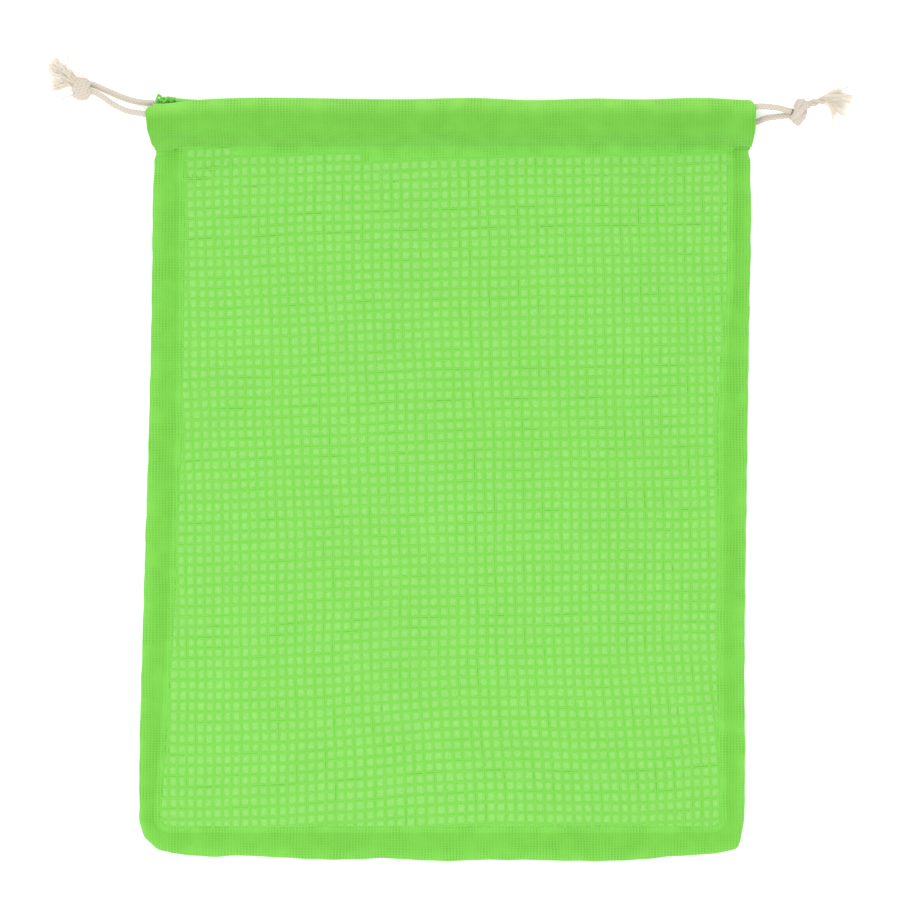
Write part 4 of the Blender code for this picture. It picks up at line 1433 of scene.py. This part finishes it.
# Locks in millimetres: root, bend, tip, half width at root and tip, count, thickness, curl,
# and how warm the colour is.
LEFT_LOCKS = (
    ((-2.4, 1.6, 0.4), (-5.4, 3.2, 0.4), (-9.2, 8.0, -1.0), 3.1, 3.3, 138, 0.150, 0.70, 0.8),
    ((-5.0, 4.4, 0.0), (-9.0, 7.8, -1.4), (-16.2, 12.4, -3.2), 2.8, 3.2, 138, 0.110, 1.50, 0.2),
    ((-5.0, 6.0, 0.4), (-8.4, 9.4, -1.0), (-12.4, 13.4, -2.4), 1.5, 1.9, 48, 0.105, 1.50, 0.2),
    ((-4.6, 2.4, -0.2), (-8.4, 1.4, -2.0), (-14.6, -0.6, -3.4), 1.8, 1.4, 72, 0.110, 0.90, 0.4),
    ((-5.4, 3.6, -0.2), (-9.6, 2.4, -1.8), (-14.6, 2.8, -3.2), 1.4, 1.6, 54, 0.110, 1.20, 0.4),
    ((-6.2, 4.6, -0.6), (-12.4, 3.8, -2.2), (-15.0, 7.0, -3.0), 0.8, 0.9, 18, 0.120, 0.90, 0.6),
    ((-6.0, 5.0, -0.6), (-13.4, 7.6, -2.2), (-12.0, 3.4, -3.0), 0.8, 0.9, 18, 0.120, 0.80, 0.6),
    ((-5.8, 7.6, 0.4), (-6.4, 11.8, 0.2), (-4.2, 15.2, -1.2), 0.5, 0.6, 18, 0.125, 0.60, 0.6),
    ((0.4, 4.2, 1.4), (-0.4, 7.0, 1.8), (0.3, 9.6, 0.8), 0.6, 0.9, 18, 0.120, 0.50, 0.6),
    ((-1.2, 4.0, 1.4), (-1.6, 6.0, 1.6), (-2.4, 7.8, 0.8), 0.6, 0.8, 12, 0.120, 0.40, 0.6),
    ((-3.2, -2.2, -1.0), (-6.4, -3.6, -2.4), (-10.0, -5.4, -3.6), 0.4, 0.6, 12, 0.125, 0.40, 0.6),
    ((-3.4, -2.0, -1.0), (-6.8, -3.0, -2.4), (-9.8, -3.4, -3.6), 0.4, 0.5, 12, 0.120, 0.40, 0.6),
)
RIGHT_LOCKS = (
    ((10.0, 5.0, -1.2), (15.0, 7.0, -1.6), (22.0, 5.0, -3.2), 1.8, 4.8, 162, 0.110, 1.30, 0.3),
    ((10.6, 5.6, -1.0), (14.6, 9.2, -1.8), (18.4, 9.6, -3.0), 1.0, 2.1, 60, 0.100, 0.70, 0.3),
    ((10.4, 4.2, -1.6), (14.2, 3.2, -2.4), (14.8, -2.4, -3.5), 1.5, 2.0, 90, 0.110, 0.80, 0.5),
    ((11.4, 4.4, -1.8), (16.4, 3.4, -2.6), (20.6, -0.8, -3.6), 1.2, 2.2, 66, 0.105, 0.70, 0.4),
    ((14.4, 1.6, -2.6), (17.2, 0.4, -3.0), (20.4, -3.8, -3.8), 0.8, 1.2, 24, 0.110, 0.40, 1.0),
    ((13.4, 0.4, -3.0), (14.4, -2.6, -3.4), (13.0, -6.4, -3.8), 0.6, 1.2, 24, 0.110, 0.40, 1.0),
    ((14.8, 7.8, -1.8), (18.0, 9.4, -2.2), (21.6, 10.6, -3.0), 0.4, 0.6, 18, 0.110, 0.30, 1.0),
    ((17.6, 6.0, -2.4), (21.0, 5.6, -2.8), (23.8, 5.0, -3.4), 1.4, 2.8, 42, 0.105, 0.40, 0.8),
)


def make_tassel(name, knot_node, locks, seed, *nodes):
    rng = random.Random(seed)
    bundles, shade_and_warmth_values = [], []
    for lock in locks:
        more, warmth = grow_lock(rng, knot_middle(knot_node), lock)
        bundles += more
        shade_and_warmth_values += warmth
    return place_piece(add_tubes(name, bundles, shade_and_warmth_values), fray_cotton, "natural_cotton", *nodes)


PLY_SIDES = 16
PLY_RADIUS, PLY_OFFSET = 0.9 * MM, 0.7 * MM
PLY_GROOVE, PLY_PITCH = 0.10 * MM, 4.0 * MM


def make_ply(name, knot_node, start, tip, turns):
    """The two cord ends twisted round each other between the right knot and its brush."""
    start, tip = (np.array(place) * MM + knot_middle(knot_node) for place in (start, tip))
    t = np.linspace(0.0, 1.0, 60)
    middle = start + (tip - start) * t[:, None]
    side, up = steady_frames(middle)
    bundles, shade_and_warmth_values = [], []
    for phase in (0.0, math.pi):
        angle = (2 * math.pi * turns * t + phase)[:, None]
        line = middle + PLY_OFFSET * (side * np.cos(angle) + up * np.sin(angle))
        rings, groove_shade_and_warmth = braided_rings(line, PLY_RADIUS, PLY_SIDES, PLY_GROOVE, PLY_PITCH)
        bundles.append(rings)
        shade_and_warmth_values.append(groove_shade_and_warmth)
    return place_piece(add_tubes(name, bundles, shade_and_warmth_values), cord_cotton, "natural_cotton")


left_tassel = make_tassel("left_tassel", "knot_left", LEFT_LOCKS, 21,
                          "tassel_left", "tassel_left_side")
right_tassel = make_tassel("right_tassel", "knot_right", RIGHT_LOCKS, 22, "tassel_right")
right_ply = make_ply("right_ply", "knot_right", (2.4, 2.8, 0.2), (11.8, 5.4, -1.4), 1.3)
